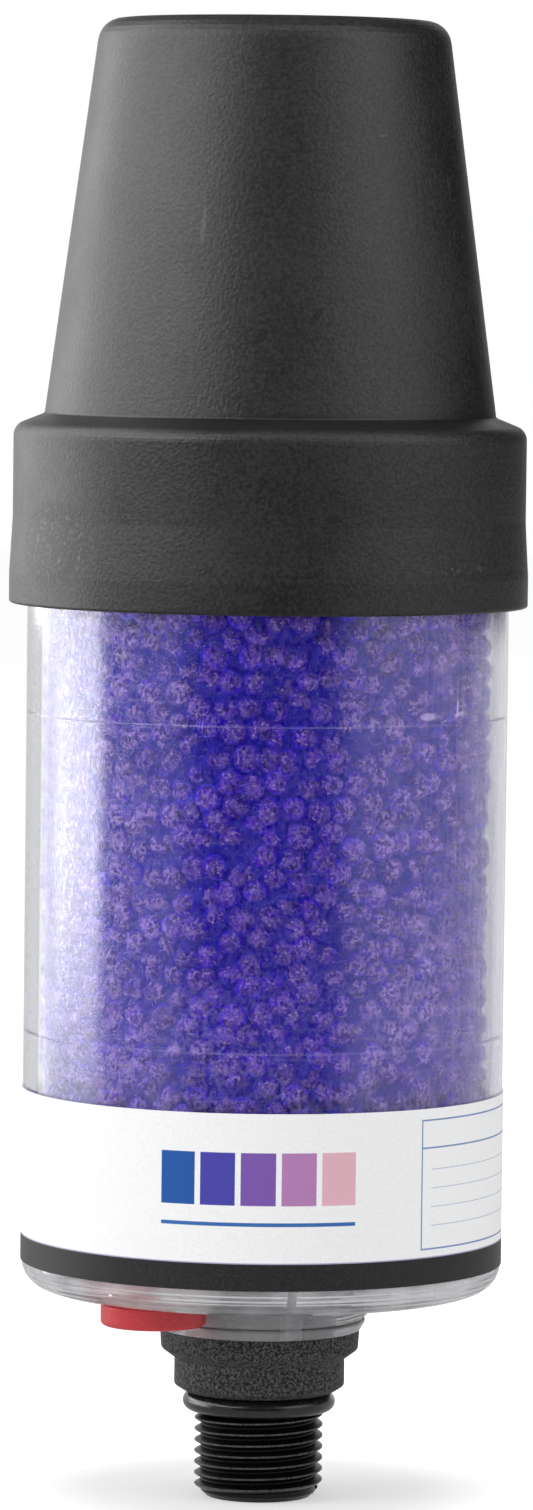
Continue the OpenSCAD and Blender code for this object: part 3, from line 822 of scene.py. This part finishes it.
@dataclass(frozen=True)
class LabelFilm:
    """White film with a black stripe at its foot, a blank ruled box and a colour scale.

    Places on the wrap are metres: the way round from the front, and the height.
    """

    name: str = "label_film"
    white: tuple[Colour, Colour] = ((0.80, 0.805, 0.815), (0.86, 0.86, 0.865))
    black: tuple[Colour, Colour] = ((0.012, 0.012, 0.013), (0.026, 0.025, 0.027))
    ink: Colour = (0.030, 0.130, 0.390)
    step_shadow_tone: Colour = (0.35, 0.35, 0.36)
    fringe_tone: Colour = (0.22, 0.16, 0.42)
    radius: float = 39.25 * MM
    fleck: Grain = Grain(2600.0, 3.0, 0.6)
    white_flecks: Slope = Slope(0.3, 0.7)
    black_flecks: Slope = Slope(0.35, 0.75)
    edge: float = 0.03 * MM
    stripe: Slope = Slope(29.26 * MM, 29.34 * MM, 1.0, 0.0)
    fringe: Band = Band(29.3 * MM, 29.48 * MM, 0.08 * MM)
    fringe_share: float = 0.8
    box_u: Span = (27.7 * MM, 74.0 * MM)
    box_v: Span = (30.6 * MM, 51.5 * MM)
    box_line: float = 0.26 * MM
    box_share: float = 0.85
    divider: float = 46.8 * MM
    rules: tuple[float, ...] = (43.4 * MM, 40.4 * MM, 37.4 * MM, 34.4 * MM)
    rule_inset: float = 2.2 * MM
    rule_line: float = 0.14 * MM
    rule_share: float = 0.55
    chips: tuple[Colour, ...] = ((0.010, 0.085, 0.340), (0.055, 0.050, 0.360),
                                 (0.180, 0.085, 0.380), (0.420, 0.190, 0.420),
                                 (0.700, 0.400, 0.480))
    chip_w: float = 5.6 * MM
    chip_gap: float = 0.9 * MM
    chip_v: Span = (38.6 * MM, 47.0 * MM)
    scale_u: float = -0.5 * MM
    underline_v: Span = (35.3 * MM, 35.9 * MM)
    # The overlap of the wrap: a grey line of painted shadow along its edge, and a real step in the relief.
    step_line: Slope = Slope(122.6 * MM, 122.75 * MM)
    step_shade_share: float = 0.5
    seam_step: float = 6.0
    gloss: Slope = Slope(0.3, 0.7, 0.42, 0.52)
    specular: float = 0.25
    relief: Relief = Relief(0.02 * MM, 0.5)

    def ruled_box(self, g: Graph, u: Socket, v: Socket) -> Socket:
        """Marks the lines of the blank box.

        Args:
            g: the material's tree.
            u: way round.
            v: height.

        Returns:
            1 on the lines of its edge, and less on its inner rules.
        """
        (left, right), (low, high), thin = self.box_u, self.box_v, self.box_line
        edges = g.minus(g.panel(u, v, self.box_u, self.box_v, self.edge),
                        g.panel(u, v, (left + thin, right - thin), (low + thin, high - thin), self.edge))
        bars = g.panel(u, v, self.box_u, (self.divider, self.divider + thin), self.edge)
        inner = (left + self.rule_inset, right - self.rule_inset)
        for height in self.rules:
            line = g.panel(u, v, inner, (height, height + self.rule_line), self.edge)
            bars = g.plus(bars, g.times(line, self.rule_share))
        return g.plus(edges, bars, clamp=True)

    def make(self) -> bpy.types.Material:
        """Returns the material."""
        g = new_graph(self.name)
        u, v = g.wrapped(self.radius)
        fleck = g.noise(self.fleck)
        colour = g.blend(g.remap(fleck, self.white_flecks), *self.white)
        colour = g.blend(g.times(self.ruled_box(g, u, v), self.box_share), colour, self.ink)
        pitch = self.chip_w + self.chip_gap
        length = len(self.chips) * pitch - self.chip_gap
        start = self.scale_u - length / 2
        for i, chip in enumerate(self.chips):
            left = start + i * pitch
            mark = g.panel(u, v, (left, left + self.chip_w), self.chip_v, self.edge)
            colour = g.blend(mark, colour, chip)
        underline = g.panel(u, v, (start, start + length), self.underline_v, self.edge)
        colour = g.blend(underline, colour, self.ink)
        # painted shadow along the overlap's edge
        step_line = g.remap(g.math("ABSOLUTE", u), self.step_line)
        colour = g.blend(g.times(step_line, self.step_shade_share), colour, self.step_shadow_tone)
        colour = g.blend(g.times(g.band(v, self.fringe), self.fringe_share), colour, self.fringe_tone)
        black = g.blend(g.remap(fleck, self.black_flecks), *self.black)
        colour = g.blend(g.remap(v, self.stripe), colour, black)
        height = g.plus(fleck, g.times(step_line, self.seam_step))
        return g.skin(colour, g.remap(fleck, self.gloss), height, self.relief,
                      Specular_IOR_Level=self.specular)


def deselect_all() -> None:
    """Leaves object mode's selection empty."""
    if bpy.context.mode != "OBJECT":
        bpy.ops.object.mode_set(mode="OBJECT")
    bpy.ops.object.select_all(action="DESELECT")


def select_only(obj: bpy.types.Object) -> None:
    """Makes one object the selected and active one.

    Args:
        obj: the object.
    """
    deselect_all()
    obj.select_set(True)
    bpy.context.view_layer.objects.active = obj


def settle(obj: bpy.types.Object, name: str, smooth_deg: float = 35.0) -> bpy.types.Object:
    """Puts an object's place into its mesh and smooths its rounds.

    Args:
        obj: the object.
        name: its final name.
        smooth_deg: sharpest turn that is still shaded smooth.

    Returns:
        The same object.
    """
    select_only(obj)
    bpy.ops.object.transform_apply(location=True, rotation=True, scale=True)
    bpy.ops.object.shade_smooth_by_angle(angle=math.radians(smooth_deg))
    obj.name = obj.data.name = name
    return obj


def linked(name: str, data: bpy.types.ID) -> bpy.types.Object:
    """Adds an object to the scene.

    Args:
        name: its name.
        data: the mesh, lamp or camera that it holds.

    Returns:
        The new object.
    """
    obj = bpy.data.objects.new(name, data)
    bpy.context.scene.collection.objects.link(obj)
    return obj


def open_edges() -> None:
    """Selects the edges of the edited mesh's openings."""
    bpy.ops.mesh.select_all(action="DESELECT")
    bpy.ops.mesh.select_mode(type="EDGE")
    bpy.ops.mesh.select_non_manifold()


def face_outwards() -> None:
    """Turns the edited mesh's faces outwards and leaves edit mode."""
    bpy.ops.mesh.select_all(action="SELECT")
    bpy.ops.mesh.normals_make_consistent(inside=False)
    bpy.ops.object.mode_set(mode="OBJECT")


def turned(outline: list[Point], segments: int) -> bpy.types.Object:
    """Turns a closed outline about the axis, ring by ring.

    Args:
        outline: radius and height of each corner.
        segments: faces round the axis.

    Returns:
        The closed solid.
    """
    deselect_all()
    radius, height = outline[0]
    bpy.ops.mesh.primitive_circle_add(vertices=segments, radius=radius, location=(0, 0, height))
    obj = bpy.context.object
    bpy.ops.object.mode_set(mode="EDIT")
    bpy.ops.mesh.select_all(action="SELECT")
    for next_radius, next_height in outline[1:]:
        bpy.ops.mesh.extrude_edges_move(
            TRANSFORM_OT_translate={"value": (0, 0, next_height - height)})
        scale = next_radius / radius
        bpy.ops.transform.resize(value=(scale, scale, 1), center_override=(0, 0, next_height))
        radius, height = next_radius, next_height
    open_edges()
    bpy.ops.mesh.bridge_edge_loops()
    face_outwards()
    return obj


def rounded(corner: Point, before: Point, after: Point, radius: float, steps: int = 4) -> list[Point]:
    """Rounds one corner of an outline.

    Args:
        corner: radius and height of the corner.
        before: the corner before it.
        after: the corner after it.
        radius: radius of the round.
        steps: straight pieces of the round.

    Returns:
        The points that take the corner's place.
    """
    p, a, b = Vector(corner), Vector(before), Vector(after)
    u, v = (a - p).normalized(), (b - p).normalized()
    half = u.angle(v) / 2
    centre = p + (u + v).normalized() * radius / math.sin(half)
    start = p + u * radius / math.tan(half) - centre
    end = p + v * radius / math.tan(half) - centre
    turn = start.angle_signed(end)
    points = []
    for i in range(steps + 1):
        spin = -turn * i / steps
        x = start.x * math.cos(spin) - start.y * math.sin(spin)
        y = start.x * math.sin(spin) + start.y * math.cos(spin)
        points.append((centre.x + x, centre.y + y))
    return points


def wear(obj: bpy.types.Object, material: bpy.types.Material) -> None:
    """Gives an object one material on all its faces."""
    obj.data.materials.clear()
    obj.data.materials.append(material)


@dataclass
class ThreadedFoot:
    """The black foot with a true helical pipe thread, in place of the plain solid."""

    name: str = "threaded_foot"
    thread_r: float = 10.4775 * MM
    root_r: float = 9.36 * MM
    pitch: float = 1.814 * MM
    thread_h: float = 12.0 * MM
    lead_h: float = 1.8 * MM
    lead_r: float = 8.4775 * MM
    bore_r: float = 6.0 * MM
    ridge_start: float = 0.85 * MM
    ridge_end: float = 0.5 * MM
    run_out_r: float = 0.2 * MM
    run_out_slope: float = 4.0
    sunk: float = 0.3 * MM
    key_r: Span = (11.8 * MM, 15.2 * MM)
    key_w: float = 2.6 * MM
    key_z: Span = (13.3 * MM, 18.9 * MM)
    key_edge: float = 0.15 * MM
    key_deg: float = 290.0
    segments: int = 128
    steps_per_turn: int = 72
    # Radius, height and round of each corner above the thread, in millimetres.
    corners_mm: tuple[tuple[float, float, float], ...] = (
        (9.3975, 0.0, 0.0), (9.3975, 3.5, 0.0), (12.3, 3.5, 0.3), (13.9, 4.5, 0.5),
        (13.9, 8.9, 0.4), (16.1, 10.5, 0.8), (16.3, 13.7, 0.2), (12.4, 13.7, 0.0),
        (12.4, 23.6, 0.0), (10.7, 23.6, 0.0), (10.7, 25.7, 0.0), (12.4, 25.7, 0.0),
        (12.4, 28.0, 0.5), (8.1, 28.0, 0.0), (8.1, 19.5, 0.0), (6.0, 19.5, 0.0),
    )
    # Half of the ridge's section in millimetres: past the root or the crest, and from its middle.
    root_mm: tuple[Point, ...] = ((-0.35, 0.80), (0.02, 0.80), (0.45, 0.50))
    crest_mm: tuple[Point, ...] = ((-0.16, 0.22), (0.0, 0.09))

    @property
    def low(self) -> float:
        """Returns the height of the foot's lower end."""
        return -self.thread_h - self.lead_h

    @property
    def lead_slope(self) -> float:
        """Returns how much the lead-in widens over its height."""
        return (self.thread_r - self.lead_r) / self.lead_h

    def outline(self) -> list[Point]:
        """Returns the foot's outline with the thread's core in place of the thread."""
        core_low = self.low + (self.root_r - self.lead_r) / self.lead_slope
        corners = [(self.bore_r, self.low, 0.0), (self.lead_r, self.low, 0.0),
                   (self.root_r, core_low, 0.0), (self.root_r, 0.0, 0.0)]
        corners += [(r * MM, z * MM, c * MM) for r, z, c in self.corners_mm]
        points: list[Point] = []
        for i, (r, z, c) in enumerate(corners):
            before, after = corners[i - 1][:2], corners[(i + 1) % len(corners)][:2]
            points += rounded((r, z), before, after, c) if c > 0 else [(r, z)]
        return points

    def limit(self, height: float) -> float:
        """Returns how far out the ridge may reach at a height.

        Args:
            height: height on the axis.
        """
        lead = self.lead_r + (height - self.low) * self.lead_slope
        run_out = self.root_r + self.run_out_r - height * self.run_out_slope
        return max(self.root_r - self.sunk, min(self.thread_r, lead, run_out))

    def ridge(self) -> bpy.types.Object:
        """Returns the thread's ridge, swept up the helix and cut by the lead-in and run-out."""
        half = [(self.root_r + r * MM, z) for r, z in self.root_mm]
        half += [(self.thread_r + r * MM, z) for r, z in self.crest_mm]
        section = [(r, -z) for r, z in half] + half[::-1]
        deselect_all()
        bpy.ops.mesh.primitive_circle_add(vertices=len(section), radius=self.pitch / 2)
        obj = bpy.context.object
        for vertex, (r, z) in zip(obj.data.vertices, section):
            vertex.co = (r, 0.0, self.low + self.ridge_start + z * MM)
        turns = (-self.low - self.ridge_end) / self.pitch
        helix = obj.modifiers.new("Helix", "SCREW")
        helix.axis = "Z"
        helix.angle = 2 * math.pi * turns
        helix.screw_offset = self.pitch * turns
        helix.steps = helix.render_steps = round(self.steps_per_turn * turns)
        helix.use_merge_vertices = False
        bpy.ops.object.modifier_apply(modifier=helix.name)
        bpy.ops.object.mode_set(mode="EDIT")
        open_edges()
        bpy.ops.mesh.edge_face_add()
        face_outwards()
        for vertex in obj.data.vertices:
            reach = math.hypot(vertex.co.x, vertex.co.y)
            share = min(1.0, self.limit(vertex.co.z) / reach)
            vertex.co.x *= share
            vertex.co.y *= share
        return obj

    def key(self, turn_deg: float) -> bpy.types.Object:
        """Returns one of the keys that stop the foot from turning in the neck.

        Args:
            turn_deg: its place round the axis.
        """
        deselect_all()
        middle = (sum(self.key_r) / 2, 0, sum(self.key_z) / 2)
        bpy.ops.mesh.primitive_cube_add(size=1.0, location=middle)
        obj = bpy.context.object
        obj.scale = (self.key_r[1] - self.key_r[0], self.key_w, self.key_z[1] - self.key_z[0])
        bpy.ops.object.transform_apply(location=True, rotation=True, scale=True)
        bpy.ops.object.mode_set(mode="EDIT")
        bpy.ops.mesh.select_all(action="SELECT")
        bpy.ops.mesh.bevel(offset=self.key_edge, segments=2, affect="EDGES")
        bpy.ops.object.mode_set(mode="OBJECT")
        obj.rotation_euler.z = math.radians(turn_deg)
        return obj

    def build(self) -> bpy.types.Object:
        """Models the foot, dresses it and puts it on the main body.

        Returns:
            The finished piece.
        """
        body = turned(self.outline(), self.segments)
        parts = [self.ridge(), self.key(self.key_deg), self.key(self.key_deg + 180.0)]
        select_only(body)
        for part in parts:
            part.select_set(True)
        bpy.ops.object.join()
        foot = settle(body, self.name)
        wear(foot, FootNylon().make())
        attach(foot, MAIN_BODY)
        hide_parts("threaded_adapter")
        return foot


@dataclass
class BeadBed:
    """The loose silica gel: uneven beads, one on each dome of the solid bed."""

    name: str = "gel_beads"
    dome_depth: float = 0.9 * MM
    smallest_d: float = 3.5 * MM
    largest_d: float = 4.9 * MM
    neighbours: int = 4
    swell: Span = (1.07, 1.36)
    stray: float = 0.4 * MM
    stray_limit: float = 0.8 * MM
    form_count: int = 10
    form_fineness: int = 2
    unevenness: float = 0.05
    squeeze: Span = (0.86, 1.06)
    seed: int = 11

    def forms(self) -> list[tuple[np.ndarray, np.ndarray]]:
        """Models a few uneven beads of about unit diameter.

        Returns:
            Corners and triangles of each.
        """
        rng = np.random.default_rng(self.seed)
        made = []
        for i in range(self.form_count):
            deselect_all()
            bpy.ops.mesh.primitive_ico_sphere_add(subdivisions=self.form_fineness, radius=0.5)
            obj = bpy.context.object
            bpy.ops.object.mode_set(mode="EDIT")
            bpy.ops.mesh.select_all(action="SELECT")
            bpy.ops.transform.vertex_random(offset=self.unevenness, seed=self.seed + i)
            bpy.ops.transform.resize(value=tuple(rng.uniform(*self.squeeze, 3)), center_override=(0, 0, 0))
            bpy.ops.object.mode_set(mode="OBJECT")
            corners = np.array([v.co for v in obj.data.vertices])
            faces = np.array([p.vertices for p in obj.data.polygons])
            made.append((corners, faces))
            bpy.data.objects.remove(obj)
        return made

    def domes(self) -> tuple[np.ndarray, np.ndarray]:
        """Reads the places of the solid bed's domes.

        Returns:
            The domes' peaks, and the diameter of the bead that fits between each one's neighbours.
        """
        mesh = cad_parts["desiccant_bed"].data
        corners = np.empty(len(mesh.vertices) * 3)
        mesh.vertices.foreach_get("co", corners)
        corners = np.unique(corners.reshape(-1, 3).round(6), axis=0)
        reach = np.hypot(corners[:, 0], corners[:, 1])
        peaks = corners[reach > reach.max() - self.dome_depth]
        gaps = np.linalg.norm(peaks[:, None] - peaks[None, :], axis=2)
        nearest = np.sort(gaps, axis=1)[:, 1:1 + self.neighbours].mean(axis=1)
        return peaks, np.clip(nearest, self.smallest_d, self.largest_d)

    def build(self) -> bpy.types.Object:
        """Copies the bead forms to the domes, dresses them and puts them on the main body.

        Returns:
            The finished piece, with each bead's tone and facing as attributes.
        """
        rng = np.random.default_rng(self.seed)
        forms = self.forms()
        ends = [corner[2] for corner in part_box("desiccant_bed")]
        corners, faces, tones, facing, start = [], [], [], [], 0
        for peak, size in zip(*self.domes()):
            shape, triangles = forms[rng.integers(len(forms))]
            spin = np.linalg.qr(rng.normal(size=(3, 3)))[0]
            if np.linalg.det(spin) < 0:
                spin[:, 0] *= -1
            outward = np.array([peak[0], peak[1], 0.0]) / math.hypot(peak[0], peak[1])
            bead = shape @ spin.T * size * rng.uniform(*self.swell)
            height = bead @ outward
            across = np.array([-outward[1], outward[0], 0.0])
            stray = rng.normal(0.0, self.stray, 2).clip(-self.stray_limit, self.stray_limit)
            place = bead + peak - height.max() * outward + stray[0] * across
            place[:, 2] += stray[1]
            place[:, 2] = place[:, 2].clip(*ends)
            corners.append(place)
            facing.append(np.clip(height / height.max(), 0.0, 1.0))
            faces.append(triangles + start)
            tones.append(np.full(len(shape), rng.random()))
            start += len(shape)
        mesh = bpy.data.meshes.new(self.name)
        mesh.from_pydata(np.vstack(corners).tolist(), [], np.vstack(faces).tolist())
        for key, values in (("tone", tones), ("face", facing)):
            layer = mesh.attributes.new(key, "FLOAT", "POINT")
            layer.data.foreach_set("value", np.concatenate(values).astype(np.float32))
        obj = linked(self.name, mesh)
        select_only(obj)
        bpy.ops.object.shade_smooth()
        wear(obj, SilicaGel(self.name, GelTone.BEAD).make())
        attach(obj, MAIN_BODY)
        return obj


class Dressing:
    """Finishes of the CAD nodes that show as they are."""

    def __init__(self) -> None:
        """Names each finish and the nodes that wear it."""
        self.finishes: tuple[tuple[Finish, tuple[str, ...]], ...] = (
            (CapPlastic(), ("top_cap",)),
            (ClearPlastic(), ("canister",)),
            (LabelFilm(), ("label",)),
            # The solid bed between the beads: bright saturated blue, partly the gel's own colour and
            # partly painted glow of light through the gel.
            (SilicaGel("gel_hollows", GelTone.HOLLOW), ("desiccant_bed",)),
            (Rubber("seal_rubber", (0.008, 0.008, 0.008), (0.018, 0.018, 0.018), 0.2),
             ("port_o_ring", "neck_o_ring", "rim_gasket")),
            (MouldedPlastic("pipe_plastic", (0.60, 0.63, 0.67), (0.70, 0.73, 0.77), 0.4), ("standpipe",)),
            (MouldedPlastic("inner_plastic", (0.030, 0.030, 0.032), (0.055, 0.055, 0.058), 0.55),
             ("lower_grid", "upper_grid", "bulkhead")),
            (Felt("foam", (0.05, 0.05, 0.055), (0.20, 0.205, 0.215), Grain(1100.0, 6.0, 0.75)),
             ("foam_pad",)),
            (Felt("filter_felt", (0.55, 0.55, 0.52), (0.85, 0.85, 0.82), Grain(1900.0, 6.0, 0.75)),
             ("lower_filter", "upper_filter")),
            (Rubber("bladder_rubber", (0.012, 0.012, 0.012), (0.035, 0.034, 0.033), 0.55), ("bladder",)),
            (BrushedSteel(), ("bladder_clamp",)),
            (Rubber("valve_silicone", (0.70, 0.36, 0.09), (0.78, 0.45, 0.16), 0.4),
             ("intake_valve", "outlet_valve")),
            (MouldedPlastic("vent_cap_plastic", (0.42, 0.016, 0.024), (0.50, 0.026, 0.036), 0.38,
                            Grain(1800.0, 3.0, 0.6), Relief(0.03 * MM, 0.8)),
             ("intake_vent_cap", "outlet_vent_cap")),
        )

    def apply(self) -> int:
        """Dresses the nodes.

        Returns:
            How many nodes were dressed.
        """
        for finish, nodes in self.finishes:
            material = finish.make()
            for node in nodes:
                wear(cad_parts[node], material)
        return sum(len(nodes) for _, nodes in self.finishes)


@dataclass(frozen=True)
class Patch:
    """A soft patch of brightness on the studio's round wall, where 1 is white.

    Degrees run from the front towards the right, and heights are metres.
    """

    left_deg: float
    right_deg: float
    low: float
    high: float
    level: float
    soft_deg: float = 6.0
    soft_h: float = 0.04


@dataclass(frozen=True)
class Lamp:
    """A soft lamp: its place, width, height and watts."""

    name: str
    place: tuple[float, float, float]
    size: Span
    power: float


@dataclass
class Studio:
    """White studio with a tall bank of light on the left, and the photograph's camera."""

    target: tuple[float, float, float] = (0.0, 0.0, 107.4 * MM)
    distance: float = 1.194
    pitch_deg: float = 3.78
    roll_deg: float = 0.68
    focal_px: float = 7345.0
    clip: Span = (0.01, 50.0)
    ambient: float = 0.64
    lamps: tuple[Lamp, ...] = (
        Lamp("left_bank", (-0.95, -0.35, 0.25), (0.6, 1.1), 6.0),
        Lamp("right_bank", (1.05, -0.45, 0.25), (0.6, 1.0), 2.4),
        Lamp("top_bank", (0.0, -0.2, 1.3), (0.9, 0.9), 7.6),
    )
    floor_z: float = -13.8 * MM
    floor_size: float = 8.0
    floor_drop: float = 0.05 * MM
    floor_tones: tuple[Colour, Colour] = ((0.84, 0.84, 0.84), (0.87, 0.87, 0.87))
    floor_cloud: Grain = Grain(3.0)
    floor_glow: float = 0.42
    wall_r: float = 0.45
    wall_top: float = 1.1
    wall_segments: int = 96
    wall_level: float = 0.9
    table_gap: float = 2.0 * MM
    table_edge: Span = (3.0 * MM, 4.0 * MM)
    table_level: float = 0.60
    lid_edge: Span = (2.0 * MM, 1.0 * MM)
    lid_level: float = 0.10
    patches: tuple[Patch, ...] = (
        Patch(-42.0, 40.0, -0.1, 0.20, 0.02, 14.0),
        Patch(-42.0, 34.0, 0.20, 0.50, 0.22, 14.0),
        Patch(-86.0, -46.0, -0.1, 0.20, 0.45, 10.0),
        Patch(44.0, 112.0, -0.1, 0.11, 0.60, 8.0),
        Patch(118.0, 142.0, -0.1, 0.11, 0.50, 8.0),
        Patch(-142.0, -83.0, 0.022, 0.13, 6.8, 5.5, 0.05),
        Patch(-146.0, -116.0, -0.020, 0.13, 2.5, 8.0, 0.05),
        Patch(-181.0, -132.5, -0.1, 0.110, 0.80, 1.5, 0.006),
        Patch(-139.0, -88.0, 0.13, 0.90, 4.2, 2.5, 0.02),
        Patch(-92.0, -30.0, 0.22, 0.60, 6.2, 14.0, 0.05),
        Patch(36.0, 80.0, 0.22, 0.60, 3.0, 14.0, 0.05),
        Patch(95.0, 155.0, 0.107, 0.90, 0.03, 8.0, 0.006),
        Patch(150.0, 230.0, 0.40, 0.95, 0.08, 15.0),
        Patch(-75.0, 75.0, 0.62, 0.95, 2.6, 10.0, 0.03),
    )

    def camera(self) -> None:
        """Places the camera and makes it the scene's own."""
        data = bpy.data.cameras.new("photo_camera")
        data.sensor_width = SENSOR_MM
        data.lens = SENSOR_MM * self.focal_px / max(IMAGE_SIZE)
        data.clip_start, data.clip_end = self.clip
        cam = linked("photo_camera", data)
        pitch = math.radians(self.pitch_deg)
        back = Vector((0.0, -math.cos(pitch), math.sin(pitch)))
        cam.location = Vector(self.target) + back * self.distance
        aim = (-back).to_track_quat("-Z", "Y").to_matrix().to_4x4()
        cam.rotation_euler = (aim @ Matrix.Rotation(math.radians(self.roll_deg), 4, "Z")).to_euler()
        bpy.context.scene.camera = cam

    def hang(self, lamp: Lamp) -> None:
        """Hangs a lamp that points at the object's middle and isn't mirrored.

        Args:
            lamp: the lamp.
        """
        data = bpy.data.lights.new(lamp.name, "AREA")
        data.shape = "RECTANGLE"
        data.size, data.size_y = lamp.size
        data.energy = lamp.power
        obj = linked(lamp.name, data)
        obj.location = lamp.place
        obj.rotation_euler = (Vector(self.target) - Vector(lamp.place)).to_track_quat("-Z", "Y").to_euler()
        obj.visible_glossy = False

    def surround(self) -> None:
        """Stands a round wall with a table and a lid about the object, seen only in reflections."""
        deselect_all()
        depth = self.wall_top - self.floor_z - self.table_gap
        bpy.ops.mesh.primitive_cylinder_add(vertices=self.wall_segments, radius=self.wall_r, depth=depth,
                                            location=(0, 0, self.wall_top - depth / 2))
        obj = settle(bpy.context.object, "studio_wall")
        g = new_graph("studio_wall")
        turn, height = g.wrapped(math.degrees(1.0))
        level: Value = self.wall_level
        for patch in self.patches:
            up = g.band(height, Band(patch.low, patch.high, patch.soft_h))
            level = g.towards(level, patch.level, g.times(self.arc(g, turn, patch), up))
        table = g.remap(height, Slope(*(self.floor_z + edge for edge in self.table_edge), 1.0, 0.0))
        lid = g.remap(height, Slope(*(self.wall_top - edge for edge in self.lid_edge)))
        level = g.towards(g.towards(level, self.table_level, table), self.lid_level, lid)
        wear(obj, g.finish(g.node("Emission", {"Strength": level}).outputs[0]))
        obj.visible_camera = obj.visible_diffuse = obj.visible_shadow = False

    def arc(self, g: Graph, turn: Socket, patch: Patch) -> Socket:
        """Marks a patch's stretch of the round wall, also across the back.

        Args:
            g: the wall's material.
            turn: degrees from the front, -180 to 180.
            patch: the patch.

        Returns:
            1 inside the stretch and 0 outside it.
        """
        across = g.band(turn, Band(patch.left_deg, patch.right_deg, patch.soft_deg))
        if patch.right_deg <= 180.0:
            return across
        wrapped = g.band(turn, Band(patch.left_deg - 360.0, patch.right_deg - 360.0, patch.soft_deg))
        return g.math("MAXIMUM", across, wrapped)

    def floor(self) -> None:
        """Lays a pale floor that is white to the camera away from the shadow."""
        deselect_all()
        bpy.ops.mesh.primitive_plane_add(size=self.floor_size,
                                         location=(0, 0, self.floor_z - self.floor_drop))
        obj = bpy.context.object
        obj.name = "studio_floor"
        g = new_graph("studio_floor")
        tone = g.blend(g.noise(self.floor_cloud), *self.floor_tones)
        matt = g.node("BsdfDiffuse", {"Color": tone}).outputs[0]
        glow = g.node("Emission", {"Strength": g.times(g.rays(SIGHT_RAYS), self.floor_glow)}).outputs[0]
        wear(obj, g.finish(g.node("AddShader", {0: matt, 1: glow}).outputs[0]))

    def world(self) -> None:
        """Surrounds the scene with white that lights it softly."""
        bpy.context.scene.world = bpy.data.worlds.new("studio")
        g = Graph(bpy.context.scene.world)
        plain, white = (g.node("Background", {"Color": WHITE, "Strength": level}).outputs[0]
                        for level in (self.ambient, 1.0))
        g.node("OutputWorld", {"Surface": g.mixed(g.rays(SIGHT_RAYS), plain, white)})

    def build(self) -> None:
        """Sets up camera, lamps, floor, world and the plain view transform."""
        self.camera()
        for lamp in self.lamps:
            self.hang(lamp)
        self.surround()
        self.floor()
        self.world()
        bpy.context.scene.view_settings.view_transform = "Standard"


def main() -> None:
    """Builds the pieces in order and reports them."""
    logging.basicConfig(level=logging.INFO, format="%(name)s: %(message)s")
    LOG.info("dressed %d nodes", Dressing().apply())
    LOG.info("made %s", ThreadedFoot().build().name)
    beads = BeadBed().build()
    LOG.info("made %s with %d faces", beads.name, len(beads.data.polygons))
    Studio().build()
    LOG.info("studio is ready")


if __name__ == "__main__":
    main()
